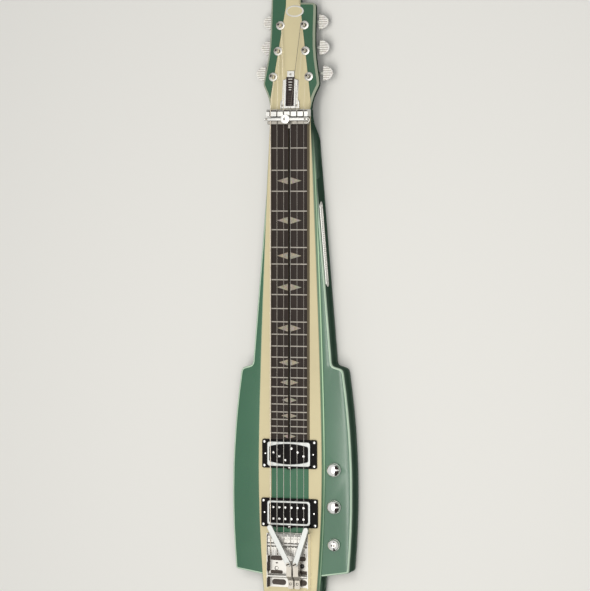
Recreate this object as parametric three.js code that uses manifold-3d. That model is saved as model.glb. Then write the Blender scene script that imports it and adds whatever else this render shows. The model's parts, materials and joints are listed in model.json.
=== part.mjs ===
// Lap steel guitar with a raised centre beam, stepped wings, a sliding capo and two palm levers.
// Millimetres, +Z up. X = 0 is the centre line, Y = 0 the saddle line, Z = 0 the flat back.
// +Y runs to the headstock and +X is the side of the controls.

import * as THREE from "three";
import { mergeVertices } from "three/addons/utils/BufferGeometryUtils.js";
import Module from "manifold-3d";

const wasm = await Module();
wasm.setup();

// General clearances and mesh fineness
const seam = 0.3;
const overrun = 2;
const fineEdge = 0.3;
const softEdge = 0.6;
const weld = 0.001;
const knobSides = 20;
const roundSides = 14;
const smallSides = 10;
const poleSides = 8;
const cornerSteps = 3;
const curveSteps = 10;

// Levels above the back
const bodyDepth = 38;
const beamRise = 7;
const creamThickness = 2;
const boardProud = 4;
const stringHeight = 11;
const beamTop = bodyDepth + beamRise;
const creamTop = beamTop + creamThickness;
const boardTop = creamTop + boardProud;
const stringLevel = boardTop + stringHeight;

// Stations along the neck
const scaleLength = 648;
const parkLength = 12;
const nutDepth = 11;
const nutFront = scaleLength + parkLength;
const breakY = nutFront + nutDepth;

// Body outline, half widths from the centre line
const neckHalf = 33;
const shoulderHalf = 64.3;
const shoulderY = 275.4;
const shoulderDrop = 5;
const ledgeHalf = 82.5;
const bellyHalf = 97;
const bellyY = 75;
const endSetback = 43;
const endDrop = 8.7;
const innerRound = 5;
const outerRound = 6;
const endRound = 3.5;
const edgeRound = 3;

// Raised beam and its cream top
const creamBellyHalf = 51;
const creamBellyY = 115;
const creamTailHalf = 41;
const tailReach = 92;
const tailRound = 7;
const creamSwellShare = 0.25;
const creamTaperShare = 0.46;
const flank = 3.4;
const creamEdge = 0.6;

// Glue joints between the beam and the wings
const beamNutHalf = 27;
const beamTailHalf = 36;
const jointLength = 20;

// Side profile: the heel at the nut and the lifted tail
const heelLength = 59;
const heelEaseShare = 0.48;
const tailLift = 22;
const tailSlope = 50;

// Headstock, in its own tilted frame that starts behind the nut
const headTilt = THREE.MathUtils.degToRad(5.5);
const headThickness = 13;
const headChamfer = 3;
const hipHalf = 45.5;
const hipReach = 39;
const hipRound = 4;
const waistReach = 120;
const headHalf = 36.1;
const headLength = 166.8;
const headRoot = 10;
const peakHalf = 11.7;
const peakRise = 17;
const peakSlant = 5;
const topRound = 7;
const stepRound = 2;
const neckEaseShare = 0.41;
const hipEaseShare = 0.26;
const stripeStart = 13;
const stripeEnd = 161;

// Fingerboard
const boardHalf = 29.25;
const boardFlare = 2.75;
const fieldHalf = 30.4;
const fretCount = 24;
const fretWidth = 2;
const fretHeight = 0.5;
const fretInset = 0.5;
const inlayHalf = 20.2;
const inlayHeight = 10.8;
const inlayDepth = 0.6;
const inlayGap = 0.4;
const inlaySpaceShare = 0.6;
const inlayReachShares = {
  3: 1, 5: 1, 7: 1, 9: 1, 12: 0.98, 15: 0.85, 17: 0.76, 19: 0.68, 21: 0.66, 24: 0.55,
};

// Capo rail under the slot of the fingerboard
const slotWidth = 3.6;
const slotDepth = 3;
const slotPickupMargin = 8;
const slotNutMargin = 2;
const railWidth = 9;
const railHeight = 6;
const railWall = 1.1;

// Capo
const capoLength = 65;
const capoDepth = 10;
const capoStringGap = 1.2;
const capoFootLength = 7;
const capoFootReach = 6;
const capoFootGap = 0.4;
const capoBarLength = 69;
const capoBarDepth = 5.4;
const capoBarHeight = 4.6;
const capoBarRound = 1.6;
const capoBarSet = 7.6;
const capoTravel = 1.5;
const capoStudRadius = 2.2;
const capoPinRadius = 1.5;
const capoPinInset = 3.4;
const capoBossRadius = 4;
const capoKnobRadius = 7;
const capoKnobHeight = 5;
const capoKnobEdge = 1.2;

// Strings, from the left side to the right
const stringPitch = 10.8;
const stringRadii = [0.62, 0.52, 0.44, 0.34, 0.3, 0.26];
const thickestString = Math.max(...stringRadii);
const stringSides = 6;
const stringWrapSteps = 2;
const stringDropReach = 13;
const stringDropAngle = THREE.MathUtils.degToRad(23);

// Nut
const nutHalf = 33.75;
const nutCrown = 1.6;
const nutSlotWidth = 1.9;
const nutSlope = 3.5;

// Truss rod cover on the headstock
const coverLength = 59;
const coverStart = 1.2;
const coverThickness = 2.5;
const coverFootHalf = 15.5;
const coverMidHalf = 13;
const coverTabHalf = 6;
const coverFootLength = 14;
const coverTabLength = 12;
const coverRound = 2.5;
const coverWindowRound = 1.2;
const coverWindowHalf = 6.4;
const coverWindowStart = 6;
const coverWindowLength = 43;
const coverWindowDepth = 1.2;

// Tuners: three posts a side, each with a geared post and a worm on the button's shaft
const postHalfShares = [0.798, 0.612, 0.54];
const postReachShares = [0.306, 0.547, 0.788];
const postRadius = 2.9;
const postWaist = 2.3;
const postHead = 3.4;
const postHeight = 12.4;
const postWaistLow = 5.2;
const postWaistHigh = 9;
const postEdge = 0.7;
const postHeadSlope = 1.4;
const bushWall = 1.5;
const flangeRadius = 7;
const flangeThickness = 2;
const tunerPlateThickness = 2;
const tunerPlateHalfX = 9;
const tunerPlateBack = 8;
const tunerEarThickness = 2.6;
const tunerEarWidth = 7;
const tunerEarDrop = 7.4;
const gearTeeth = 15;
const gearRadius = 4.7;
const gearToothDepth = 0.8;
const gearThickness = 3.6;
const wormRadius = 2.5;
const wormLength = 10;
const wormShaftRadius = 1.7;
const buttonOffset = 17.7;
const buttonReach = 16;
const buttonHalf = 11.75;
const buttonThickness = 6.4;
const buttonEdge = 1.2;
const buttonCollarRadius = 2.9;
const buttonCollarLength = 2.4;

// Plate on the side wall of the neck
const sidePlateLength = 132;
const sidePlateHeight = 13;
const sidePlateThickness = 1.2;
const sidePlateRim = 1.8;
const sidePlateSink = 0.7;
const sidePlateY = 463;
const sidePlateLevel = 28.2;

// Pickups
const neckRingHalf = 44.2;
const bridgeRingHalf = 45.6;
const ringDepth = 44.5;
const ringThickness = 4;
const ringCorner = 3;
const pickupHalf = 35;
const pickupDepth = 38;
const pickupProud = 7.8;
const pickupSink = 9;
const pickupCorner = 3;
const frameWall = 3.4;
const frameSideWall = 4;
const frameWaist = 4.4;
const windowCorner = 5;
const bobbinDrop = 1;
const bobbinSink = 15;
const poleRadius = 1.9;
const poleProud = 1.6;
const polePitch = 9.8;
const poleRowGap = 17.6;
const poleStagger = 5.7;
const poleStaggerStart = 2.2;
const poleStaggerJump = 6.6;
const bridgePickupY = 48.4;
const pickupRoutSide = 2;
const pickupRoutEnd = 1.6;
const pickupRoutDepth = 27;

// Tailpiece
const tailHalf = 33.5;
const tailFront = 17.6;
const tailBack = 66.5;
const tailWall = 1.5;
const tailWallHeight = 14;
const tailFloor = 2.2;
const saddleShaftRadius = 3;
const saddleWidth = 9.4;
const saddleFront = 17;
const saddleBack = 17;
const saddleCrownDrop = 0.3;
const saddleNose = 3.5;
const saddleNoseReach = 4;
const saddleTailDrop = 2.6;
const saddleSlot = 2.3;
const saddleSlotDepth = 5.6;
const frontSlotWidth = 7.4;
const frontSlotY = -22;
const middleSlotY = -43.5;
const middleSlotWidth = 5.6;
const rearSlotY = -59;
const rearSlotWidth = 9;
const rearSlotInset = 3.5;
const leftSlotInner = 10.7;
const rightSlotInner = 13.5;
const slotInset = 0.8;
const frontSlotInset = 5.5;
const sightHoleX = 20.4;
const sightHoleY = -33.3;
const sightHoleRadius = 3.8;
const routInset = 3;
const routDepth = 16;

// Palm levers behind the saddles
const leverShaftY = -49;
const leverShaftRadius = 2.5;
const leverShaftRise = 9;
const leverWidth = 8;
const leverHubRadius = 5;
const leverBlockFront = 21.5;
const leverBlockBack = 2;
const leverBlockHeight = 6.5;
const leverTop = 13.7;
const leverFinger = 18;
const leverFingerHeight = 5;
const clampRadius = 1.6;
const clampHeadRadius = 2.9;
const clampHeadHeight = 1.6;
const clampSetback = 21.1;
const armWidth = 7.4;
const armThickness = 3.5;
const armHeel = 3.6;
const leftArmLength = 67.1;
const rightArmLength = 60;
const leftArmAngle = THREE.MathUtils.degToRad(28.4);
const rightArmAngle = THREE.MathUtils.degToRad(-17.9);

// Controls on the right wing
const controlX = 69;
const volumeY = 115.8;
const toneY = 58.7;
const selectorY = 0.6;
const knobRadius = 10.6;
const selectorRadius = 9.4;
const knobHeight = 13.5;
const knobDome = 5;
const knobSkirt = 1;
const knobShaftRadius = 3;
const potRadius = 12;
const potHeight = 10;
const potBushRadius = 4.6;
const potBushProud = 1.5;
const potBoreDepth = 7;
const strapThickness = 2;
const strapHalf = 9;
const strapMargin = 9;
const cavityRoof = 5;
const cavityHalf = 14.5;
const cavityMargin = 19;
const cavityRound = 6;
const coverLip = 3;
const coverPlate = 2;

// Output jack in the end face of the right wing
const jackLevel = 19;
const jackBore = 3.3;
const jackSleeveRadius = 5.5;
const jackFlangeRadius = 11.5;
const jackFlangeThickness = 2;
const jackSleeveLength = 25;
const jackEnd = 1.5;
const jackSeatDepth = 8.9;
const jackSeatReach = 30;

// Places that follow from the sizes above
const bodyReach = tailReach + flank + overrun;
const boardStart = scaleLength * 2 ** (-fretCount / 12);
const boardEnd = nutFront - seam;
const neckPickupY = boardStart - seam - ringDepth / 2;
const boardBaseHalf = boardHalf + boardFlare;
const slotStart = boardStart + slotPickupMargin;
const slotEnd = boardEnd - slotNutMargin;
const saddleShaftLevel = stringLevel - thickestString - seam - saddleShaftRadius;
const leverShaftLevel = creamTop + leverShaftRise;
const stringPlaces = stringRadii.map((_, k) => (k - (stringRadii.length - 1) / 2) * stringPitch);
const leftLeverX = stringPitch / 2;
const rightLeverX = leftLeverX + stringPitch;
const shaftLevel = -headThickness - seam - tunerPlateThickness - seam - wormRadius;
const wormOffset = gearRadius + wormRadius + seam;

// Finishes
const finish = (color, roughness, metalness) =>
  new THREE.MeshStandardMaterial({ color, roughness, metalness });
const greenPaint = finish(0x4c745b, 0.25, 0.1);
const creamPaint = finish(0xd8cea7, 0.35, 0);
const rosewood = finish(0x3a3230, 0.6, 0);
const chrome = finish(0xdcdddd, 0.12, 1);
const steel = finish(0xa8a6a2, 0.3, 1);
const brass = finish(0xb59a5c, 0.35, 1);
const blackPlastic = finish(0x161212, 0.4, 0);
const pearl = finish(0xe2ded2, 0.3, 0.1);
const darkMetal = finish(0x3b3b3a, 0.5, 0.8);

// A closed geometry as a solid that can be joined and cut
function solid(geometry) {
  const bare = geometry.clone();
  bare.deleteAttribute("normal");
  bare.deleteAttribute("uv");
  const merged = mergeVertices(bare, weld);
  const corners = merged.index.array;
  const kept = [];
  for (let t = 0; t < corners.length; t += 3) {
    const [a, b, c] = [corners[t], corners[t + 1], corners[t + 2]];
    if (a !== b && b !== c && c !== a) kept.push(a, b, c);
  }
  const vertProperties = Float32Array.from(merged.attributes.position.array);
  return new wasm.Manifold(new wasm.Mesh({ numProp: 3, vertProperties, triVerts: Uint32Array.from(kept) }));
}

function mesh(name, shape, material) {
  const { vertProperties, triVerts } = shape.getMesh();
  const geometry = new THREE.BufferGeometry();
  geometry.setAttribute("position", new THREE.BufferAttribute(vertProperties, 3));
  geometry.setIndex(new THREE.BufferAttribute(triVerts, 1));
  geometry.computeVertexNormals();
  const piece = new THREE.Mesh(geometry, material);
  piece.name = name;
  return piece;
}

const joined = (first, ...rest) => rest.reduce((whole, piece) => whole.add(piece), first);
const cut = (first, ...rest) => rest.reduce((whole, tool) => whole.subtract(tool), first);
const at = (x, y) => new THREE.Vector2(x, y);

// A box between two corners
function box(x0, x1, y0, y1, z0, z1) {
  const geometry = new THREE.BoxGeometry(x1 - x0, y1 - y0, z1 - z0);
  return solid(geometry.translate((x0 + x1) / 2, (y0 + y1) / 2, (z0 + z1) / 2));
}

const extruded = (points, depth) =>
  new THREE.ExtrudeGeometry(new THREE.Shape(points), { depth, bevelEnabled: false });

// An outline drawn in X and Y, raised from one level to another
function slabGeometry(points, low, high) {
  return extruded(points, high - low).translate(0, 0, low);
}
const slab = (points, low, high) => solid(slabGeometry(points, low, high));

// The same with its edges eased: the caps are drawn in by inset, over the height rise
function easedGeometry(points, low, high, inset, rise, steps, grow = 0) {
  const geometry = new THREE.ExtrudeGeometry(new THREE.Shape(points), {
    depth: high - low - 2 * rise,
    bevelThickness: rise,
    bevelSize: inset,
    bevelOffset: grow - inset,
    bevelSegments: steps,
  });
  return geometry.translate(0, 0, low + rise);
}
const eased = (...sizes) => solid(easedGeometry(...sizes));

// An outline drawn in Y and Z, run from one X to another
function acrossGeometry(points, x0, x1) {
  const turn = new THREE.Matrix4().makeBasis(
    new THREE.Vector3(0, 1, 0), new THREE.Vector3(0, 0, 1), new THREE.Vector3(1, 0, 0));
  return extruded(points, x1 - x0).applyMatrix4(turn).translate(x0, 0, 0);
}
const across = (points, x0, x1) => solid(acrossGeometry(points, x0, x1));

// An outline drawn in X and Z, run from one Y to another
function along(points, y0, y1) {
  return solid(extruded(points, y1 - y0).rotateX(Math.PI / 2).translate(0, y1, 0));
}

// A profile of radius and height, turned about a vertical axis through x, y
function turnedGeometry(points, x = 0, y = 0, sides = roundSides) {
  return new THREE.LatheGeometry(points, sides).rotateX(Math.PI / 2).translate(x, y, 0);
}
const turned = (...sizes) => solid(turnedGeometry(...sizes));

function post(x, y, low, high, radius, sides = smallSides) {
  const geometry = new THREE.CylinderGeometry(radius, radius, high - low, sides).rotateX(Math.PI / 2);
  return solid(geometry.translate(x, y, (low + high) / 2));
}

function crossRod(y, z, x0, x1, radius, sides = smallSides) {
  const geometry = new THREE.CylinderGeometry(radius, radius, x1 - x0, sides).rotateZ(Math.PI / 2);
  return solid(geometry.translate((x0 + x1) / 2, y, z));
}

// A corner between two neighbours, rounded over the length reach on both sides
function rounded(before, corner, after, reach, steps = cornerSteps) {
  const start = before.clone().sub(corner).setLength(reach).add(corner);
  const end = after.clone().sub(corner).setLength(reach).add(corner);
  return new THREE.QuadraticBezierCurve(start, corner, end).getPoints(steps);
}

// A closed outline with every corner rounded alike
function roundedOutline(corners, reach, steps = cornerSteps) {
  const count = corners.length;
  return corners.flatMap((corner, k) =>
    rounded(corners[(k + count - 1) % count], corner, corners[(k + 1) % count], reach, steps));
}

function rectangle(x0, x1, y0, y1) {
  return [at(x1, y1), at(x0, y1), at(x0, y0), at(x1, y0)];
}

// Points down the right side, closed by their mirror image on the left
function bothSides(right) {
  const left = right.map((p) => at(-p.x, p.y)).reverse();
  return [...right, ...left].filter((p, k, all) => k === 0 || p.distanceTo(all[k - 1]) > weld);
}

// A long slot with round ends along X, drawn in X and Y
function pill(x0, x1, y, width, steps = cornerSteps * 2) {
  const r = width / 2;
  const shape = new THREE.Shape();
  shape.absarc(x1 - r, y, r, -Math.PI / 2, Math.PI / 2, false);
  shape.absarc(x0 + r, y, r, Math.PI / 2, (3 * Math.PI) / 2, false);
  return shape.getPoints(steps).slice(0, -1);
}

// Turns a geometry over to the left side, with its faces still pointing out
function mirroredGeometry(geometry) {
  const flipped = geometry.index ? geometry.toNonIndexed() : geometry.clone();
  const places = flipped.attributes.position;
  for (let k = 0; k < places.count; k += 3) {
    for (let j = 0; j < 3; j += 1) places.setX(k + j, -places.getX(k + j));
    const kept = [places.getX(k + 1), places.getY(k + 1), places.getZ(k + 1)];
    places.setXYZ(k + 1, places.getX(k + 2), places.getY(k + 2), places.getZ(k + 2));
    places.setXYZ(k + 2, ...kept);
  }
  return flipped;
}

function mirrored(shape) {
  return solid(mirroredGeometry(mesh("", shape, chrome).geometry));
}

// Outline of the wings, seen from above
function wingOutline() {
  const neck = at(neckHalf, scaleLength);
  const inner = at(shoulderHalf, shoulderY);
  const ledge = at(ledgeHalf, shoulderY - shoulderDrop);
  const span = ledge.y - bellyY;
  const bow = (bellyHalf - ledgeHalf) / span ** 2;
  const end = at(bellyHalf - bow * (bellyY + endSetback) ** 2, -endSetback);
  const middleY = (ledge.y + end.y) / 2;
  const pull = at(ledge.x + 2 * bow * span * (ledge.y - middleY), middleY);
  const tail = at(beamTailHalf, -endSetback - endDrop);
  const ledgeCorner = rounded(inner, ledge, pull, outerRound);
  const endCorner = rounded(pull, end, tail, endRound);
  const belly = new THREE.QuadraticBezierCurve(ledgeCorner.at(-1), pull, endCorner[0]).getPoints(curveSteps);
  return bothSides([
    at(neckHalf, breakY), neck,
    ...rounded(neck, inner, ledge, innerRound),
    ...ledgeCorner, ...belly, ...endCorner, tail,
  ]);
}

// Outline of the cream top, which is also the top of the raised beam
function creamOutline(grow = 0) {
  const neck = at(neckHalf + grow, scaleLength);
  const belly = at(creamBellyHalf + grow, creamBellyY);
  const tail = at(creamTailHalf + grow, -tailReach - grow);
  const swell = at(belly.x, belly.y + creamSwellShare * (neck.y - belly.y));
  const taper = at(belly.x, belly.y + creamTaperShare * (tail.y - belly.y));
  const corner = rounded(taper, tail, at(0, tail.y), tailRound);
  return bothSides([
    at(neckHalf + grow, breakY),
    ...new THREE.QuadraticBezierCurve(neck, swell, belly).getPoints(curveSteps),
    ...new THREE.QuadraticBezierCurve(belly, taper, corner[0]).getPoints(curveSteps),
    ...corner,
  ]);
}

// Side view of the body: flat back, lifted tail, and the heel that thins to the headstock
function sideProfile() {
  const tail = -tailReach - flank;
  const heel = at(breakY - heelLength, 0);
  const nape = at(breakY, creamTop - headThickness);
  const heelCurve = new THREE.CubicBezierCurve(
    heel, at(heel.x + heelEaseShare * heelLength, 0), at(nape.x - heelEaseShare * heelLength, nape.y), nape);
  const lift = new THREE.QuadraticBezierCurve(
    at(tail, tailLift), at(tail + tailSlope / 2, 0), at(tail + tailSlope, 0));
  return [
    ...lift.getPoints(cornerSteps * 2),
    ...heelCurve.getPoints(curveSteps),
    at(breakY, beamTop), at(tail, beamTop),
  ];
}

// The whole wooden body before it is split into the beam and the wings
function bodySolid() {
  const wings = eased(wingOutline(), 0, bodyDepth, edgeRound, edgeRound, cornerSteps);
  const raised = eased(creamOutline(), 0, beamTop, flank, beamRise, 1, flank);
  const limits = slab(bothSides([
    at(neckHalf, breakY), at(neckHalf, scaleLength), at(shoulderHalf, shoulderY),
    at(bellyHalf, shoulderY), at(bellyHalf, -bodyReach),
  ]), 0, beamTop);
  return wings.add(raised.intersect(limits)).intersect(across(sideProfile(), -bellyHalf, bellyHalf));
}

// The wooden core between the wings, with its whole width behind the joint near the nut
function coreBlock(grow) {
  const joint = breakY - jointLength - grow;
  return slab(bothSides([
    at(neckHalf + overrun, breakY + overrun), at(neckHalf + overrun, joint),
    at(beamNutHalf + grow, joint), at(beamTailHalf + grow, -bodyReach),
  ]), -overrun, beamTop + overrun);
}

function pickupRout(y) {
  const half = pickupHalf + pickupRoutSide;
  const reach = pickupDepth / 2 + pickupRoutEnd;
  return box(-half, half, y - reach, y + reach, creamTop - pickupRoutDepth, creamTop + overrun);
}

function tailRout() {
  const half = tailHalf - tailWall - routInset;
  return box(-half, half, routInset - tailBack, -saddleBack - seam, beamTop - routDepth, creamTop + overrun);
}

function railGroove() {
  const half = railWidth / 2 + seam;
  return box(-half, half, slotStart - seam, slotEnd + seam, beamTop - railHeight - seam, beamTop + overrun);
}

// Headstock frame: tilted back about the line where the top breaks behind the nut
const headFrame = new THREE.Matrix4()
  .makeTranslation(0, breakY, creamTop)
  .multiply(new THREE.Matrix4().makeRotationX(-headTilt));
const inHead = (geometry) => solid(geometry.applyMatrix4(headFrame));

function headOutline() {
  const neck = at(neckHalf, 0);
  const hip = at(hipHalf, hipReach);
  const waist = at(headHalf, waistReach);
  const flare = new THREE.CubicBezierCurve(
    neck, at(neckHalf, neckEaseShare * hipReach),
    at(hipHalf - neckEaseShare * (hipHalf - neckHalf), (1 - hipEaseShare) * hipReach), hip);
  const rise = waistReach - hipReach;
  const shrink = new THREE.CubicBezierCurve(
    hip, at(hipHalf - hipEaseShare * (hipHalf - headHalf), hipReach + hipEaseShare * rise),
    at(headHalf, hipReach + rise / 2), waist);
  const [beforeHip, afterHip] = [flare.getPoints(curveSteps).at(-2), shrink.getPoints(curveSteps)[1]];
  const hipCorner = rounded(beforeHip, hip, afterHip, hipRound);
  const side = [
    neck, ...flare.getPoints(curveSteps / 2).slice(1, -1), ...hipCorner,
    ...shrink.getPoints(curveSteps / 2).slice(1),
  ];
  const corner = at(headHalf, headLength);
  const step = at(peakHalf, headLength);
  const peak = at(peakHalf, headLength + peakRise);
  const far = at(-headHalf, headLength + peakRise - peakSlant);
  const right = [
    ...side, ...rounded(waist, corner, step, topRound), ...rounded(corner, step, peak, stepRound),
    ...rounded(step, peak, far, topRound),
  ];
  const left = [...side].reverse().map((p) => at(-p.x, p.y));
  return [...right, ...rounded(peak, far, left[0], topRound), ...left, at(-neckHalf, -headRoot),
    at(neckHalf, -headRoot)];
}

function headPlate() {
  const plate = easedGeometry(headOutline(), -headThickness, 0, headChamfer, headChamfer, 1);
  const above = box(-neckHalf - overrun, neckHalf + overrun, breakY - jointLength, breakY,
    beamTop, creamTop + headRoot);
  return cut(inHead(plate), above);
}

function stripeOutline(grow) {
  const top = headLength + peakRise;
  return bothSides([
    at(peakHalf + grow, top + grow), at(peakHalf + grow, stripeEnd), at(neckHalf + grow, stripeStart),
    at(neckHalf + grow, 0),
  ]);
}

// Places of the six tuners, from the left side to the right as the strings are
const tuners = [-1, 1].flatMap((side) => postHalfShares.map((share, k) =>
  ({ side, x: side * share * headHalf, y: postReachShares[k] * headLength }))).sort((a, b) => a.x - b.x);

function postHoles(radius) {
  return tuners.map(({ x, y }) => {
    const hole = new THREE.CylinderGeometry(radius, radius, headThickness + 2 * overrun, smallSides);
    return inHead(hole.rotateX(Math.PI / 2).translate(x, y, -headThickness / 2));
  });
}
const bushRadius = postRadius + seam + bushWall;

function neckBeam() {
  const pocket = slabGeometry(stripeOutline(seam), -creamThickness - seam, overrun);
  const core = bodySolid().intersect(coreBlock(0));
  return cut(core.add(headPlate()), inHead(pocket), pickupRout(neckPickupY), pickupRout(bridgePickupY),
    tailRout(), railGroove(), ...postHoles(bushRadius + seam));
}

// A slab in X and Y around the control cavity, grown by a margin
function cavitySlab(margin, low, high) {
  const outline = roundedOutline(rectangle(
    controlX - cavityHalf - margin, controlX + cavityHalf + margin,
    selectorY - cavityMargin - margin, volumeY + cavityMargin + margin), cavityRound);
  return slab(outline, low, high);
}

function jackHole() {
  const seatY = -endSetback - endDrop + jackSeatDepth + seam;
  const seat = new THREE.CylinderGeometry(1, 1, 1, roundSides);
  const seatLength = jackSeatReach;
  const seatTool = seat.clone().scale(jackFlangeRadius + seam, seatLength, jackFlangeRadius + seam);
  const boreLength = selectorY - cavityMargin + overrun - seatY;
  const boreTool = seat.clone().scale(jackSleeveRadius + seam, boreLength, jackSleeveRadius + seam);
  return solid(seatTool.translate(controlX, seatY - seatLength / 2, jackLevel))
    .add(solid(boreTool.translate(controlX, seatY + boreLength / 2 - seam, jackLevel)));
}

function wing(side) {
  const half = box(0, bellyHalf + overrun, -bodyReach, breakY, -overrun, beamTop + overrun);
  const blank = cut(bodySolid(), coreBlock(seam)).intersect(half);
  const plain = cut(blank, pickupRout(neckPickupY), pickupRout(bridgePickupY));
  if (side < 0) return mirrored(plain);
  const roof = bodyDepth - cavityRoof;
  const holes = [volumeY, toneY, selectorY].map((y) =>
    post(controlX, y, roof - overrun, bodyDepth + overrun, potBushRadius + seam, roundSides));
  return cut(plain, cavitySlab(0, -overrun, roof), cavitySlab(coverLip + seam, -overrun, coverPlate + seam),
    jackHole(), ...holes);
}

function creamBoard() {
  const half = boardHalf + seam;
  const [low, high] = [beamTop - overrun, creamTop + overrun];
  const fieldEnd = neckPickupY;
  const window = box(-half, half, fieldEnd, boardEnd + seam, low, high)
    .add(box(-fieldHalf, fieldHalf, saddleFront / 2, fieldEnd + overrun, low, high));
  const board = slab(creamOutline(), beamTop, creamTop);
  const rim = eased(creamOutline(), beamTop - creamThickness, creamTop, creamEdge, creamEdge, 1);
  const routs = [pickupRout(neckPickupY), pickupRout(bridgePickupY), tailRout()];
  const flat = cut(board.intersect(rim), window, ...routs);
  const stripe = inHead(slabGeometry(stripeOutline(0), -creamThickness, 0));
  const plate = inHead(easedGeometry(headOutline(), -headThickness, 0, headChamfer, headChamfer, 1));
  return cut(flat.add(stripe.intersect(plate)), ...postHoles(bushRadius + seam));
}

function controlCover() {
  return cavitySlab(coverLip, seam, coverPlate);
}

// Fingerboard with the capo slot, raised fret lines and pockets for the split diamonds
const fretY = (n) => scaleLength * 2 ** (-n / 12);

function fingerboard() {
  const half = slotWidth / 2;
  let board = along([
    at(boardHalf, beamTop), at(boardHalf, creamTop), at(boardBaseHalf, creamTop), at(boardHalf, boardTop),
    at(-boardHalf, boardTop), at(-boardBaseHalf, creamTop), at(-boardHalf, creamTop), at(-boardHalf, beamTop),
  ], boardStart, boardEnd);
  for (let n = 1; n < fretCount; n += 1) {
    const y = fretY(n);
    const reach = boardHalf - fretInset;
    const [front, back] = [y - fretWidth / 2, y + fretWidth / 2];
    board = board.add(box(-reach, reach, front, back, creamTop, boardTop + fretHeight));
  }
  for (const [fret, share] of Object.entries(inlayReachShares)) {
    const high = fretY(Number(fret) - 1);
    const low = fretY(Number(fret));
    const middle = (high + low) / 2;
    const rise = Math.min(inlayHeight, inlaySpaceShare * (high - low)) / 2;
    for (const side of [-1, 1]) {
      const base = side * (half + inlayGap);
      const tip = side * inlayHalf * share;
      const corners = [at(tip, middle), at(base, middle + rise), at(base, middle - rise)];
      if (side < 0) corners.reverse();
      board = cut(board, slab(corners, boardTop - inlayDepth, boardTop + overrun));
    }
  }
  const high = boardTop + overrun;
  const through = box(-half, half, slotStart, slotEnd, beamTop - overrun, high);
  const groove = box(-half, half, boardStart - overrun, boardEnd + overrun, boardTop - slotDepth, high);
  return cut(board, through, groove);
}

function capoRail() {
  const half = railWidth / 2;
  const low = beamTop - railHeight;
  const bore = half - railWall;
  const lip = slotWidth / 2;
  return along([
    at(-half, low), at(half, low), at(half, beamTop), at(lip, beamTop), at(lip, beamTop - railWall),
    at(bore, beamTop - railWall), at(bore, low + railWall), at(-bore, low + railWall),
    at(-bore, beamTop - railWall), at(-lip, beamTop - railWall), at(-lip, beamTop), at(-half, beamTop),
  ], slotStart, slotEnd);
}

// Capo: the lower bar under the strings runs in the rail, the upper bar is drawn down by the knob
const capoBarY = scaleLength + capoBarSet;
const capoLow = boardTop + fretHeight + seam;
const capoHigh = stringLevel - thickestString - capoStringGap;
const capoBarLow = stringLevel + thickestString + seam + capoTravel;
const capoBarTop = capoBarLow + capoBarHeight;
const capoPinX = capoBarLength / 2 - capoPinInset;

function capoCarriage() {
  const half = capoLength / 2;
  const body = eased(rectangle(-half, half, scaleLength, scaleLength + capoDepth), capoLow, capoHigh,
    softEdge, softEdge, 1);
  const middle = scaleLength + capoDepth / 2;
  const footBack = middle + capoFootLength / 2;
  const footFront = scaleLength - capoFootReach;
  const stem = slotWidth / 2 - seam;
  const headHalfWidth = railWidth / 2 - railWall - capoFootGap;
  const headLow = beamTop - railHeight + railWall + capoFootGap;
  const headHigh = beamTop - railWall - capoFootGap;
  return joined(
    body,
    box(-stem, stem, footFront, footBack, headLow, capoLow),
    box(-stem, stem, scaleLength + softEdge, footBack, capoLow - seam, capoLow + overrun),
    box(-headHalfWidth, headHalfWidth, footFront, footBack, headLow, headHigh),
    post(0, capoBarY, capoHigh - overrun, capoBarTop + capoKnobHeight, capoStudRadius),
    post(-capoPinX, capoBarY, capoHigh - overrun, capoBarTop - capoPinRadius, capoPinRadius),
    post(capoPinX, capoBarY, capoHigh - overrun, capoBarTop - capoPinRadius, capoPinRadius),
  );
}

function capoBar() {
  const half = capoBarDepth / 2;
  const profile = roundedOutline([
    at(capoBarY + half, capoBarTop), at(capoBarY - half, capoBarTop),
    at(capoBarY - half, capoBarLow), at(capoBarY + half, capoBarLow),
  ], capoBarRound);
  const bar = across(profile, -capoBarLength / 2, capoBarLength / 2);
  const hole = (x, radius) => post(x, capoBarY, capoBarLow - overrun, capoBarTop + overrun, radius + seam);
  const boss = post(0, capoBarY, capoBarLow, capoBarTop, capoBossRadius, roundSides);
  const pinHoles = [-capoPinX, capoPinX].map((x) => hole(x, capoPinRadius));
  return cut(bar.add(boss), hole(0, capoStudRadius), ...pinHoles);
}

function capoKnob() {
  const low = capoBarTop + seam;
  const high = low + capoKnobHeight;
  const bore = capoStudRadius + seam;
  return turned([
    at(bore, low), at(capoKnobRadius - softEdge, low), at(capoKnobRadius, low + softEdge),
    at(capoKnobRadius, high - capoKnobEdge), at(capoKnobRadius - capoKnobEdge, high),
    at(bore, high), at(bore, low),
  ], 0, capoBarY, knobSides);
}

// Nut: a metal block with a slot for every string, its top sloping down to the headstock
const nutSlotFloor = stringLevel - thickestString - seam;

function nut() {
  const top = stringLevel + nutCrown;
  const block = across([
    at(nutFront, creamTop), at(breakY, creamTop), at(breakY, top - nutSlope),
    at(breakY - nutSlope, top), at(nutFront, top),
  ], -nutHalf, nutHalf);
  const slots = stringPlaces.map((x) => box(x - nutSlotWidth / 2, x + nutSlotWidth / 2,
    nutFront - overrun, breakY + overrun, nutSlotFloor, top + overrun));
  return cut(block, ...slots);
}

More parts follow.
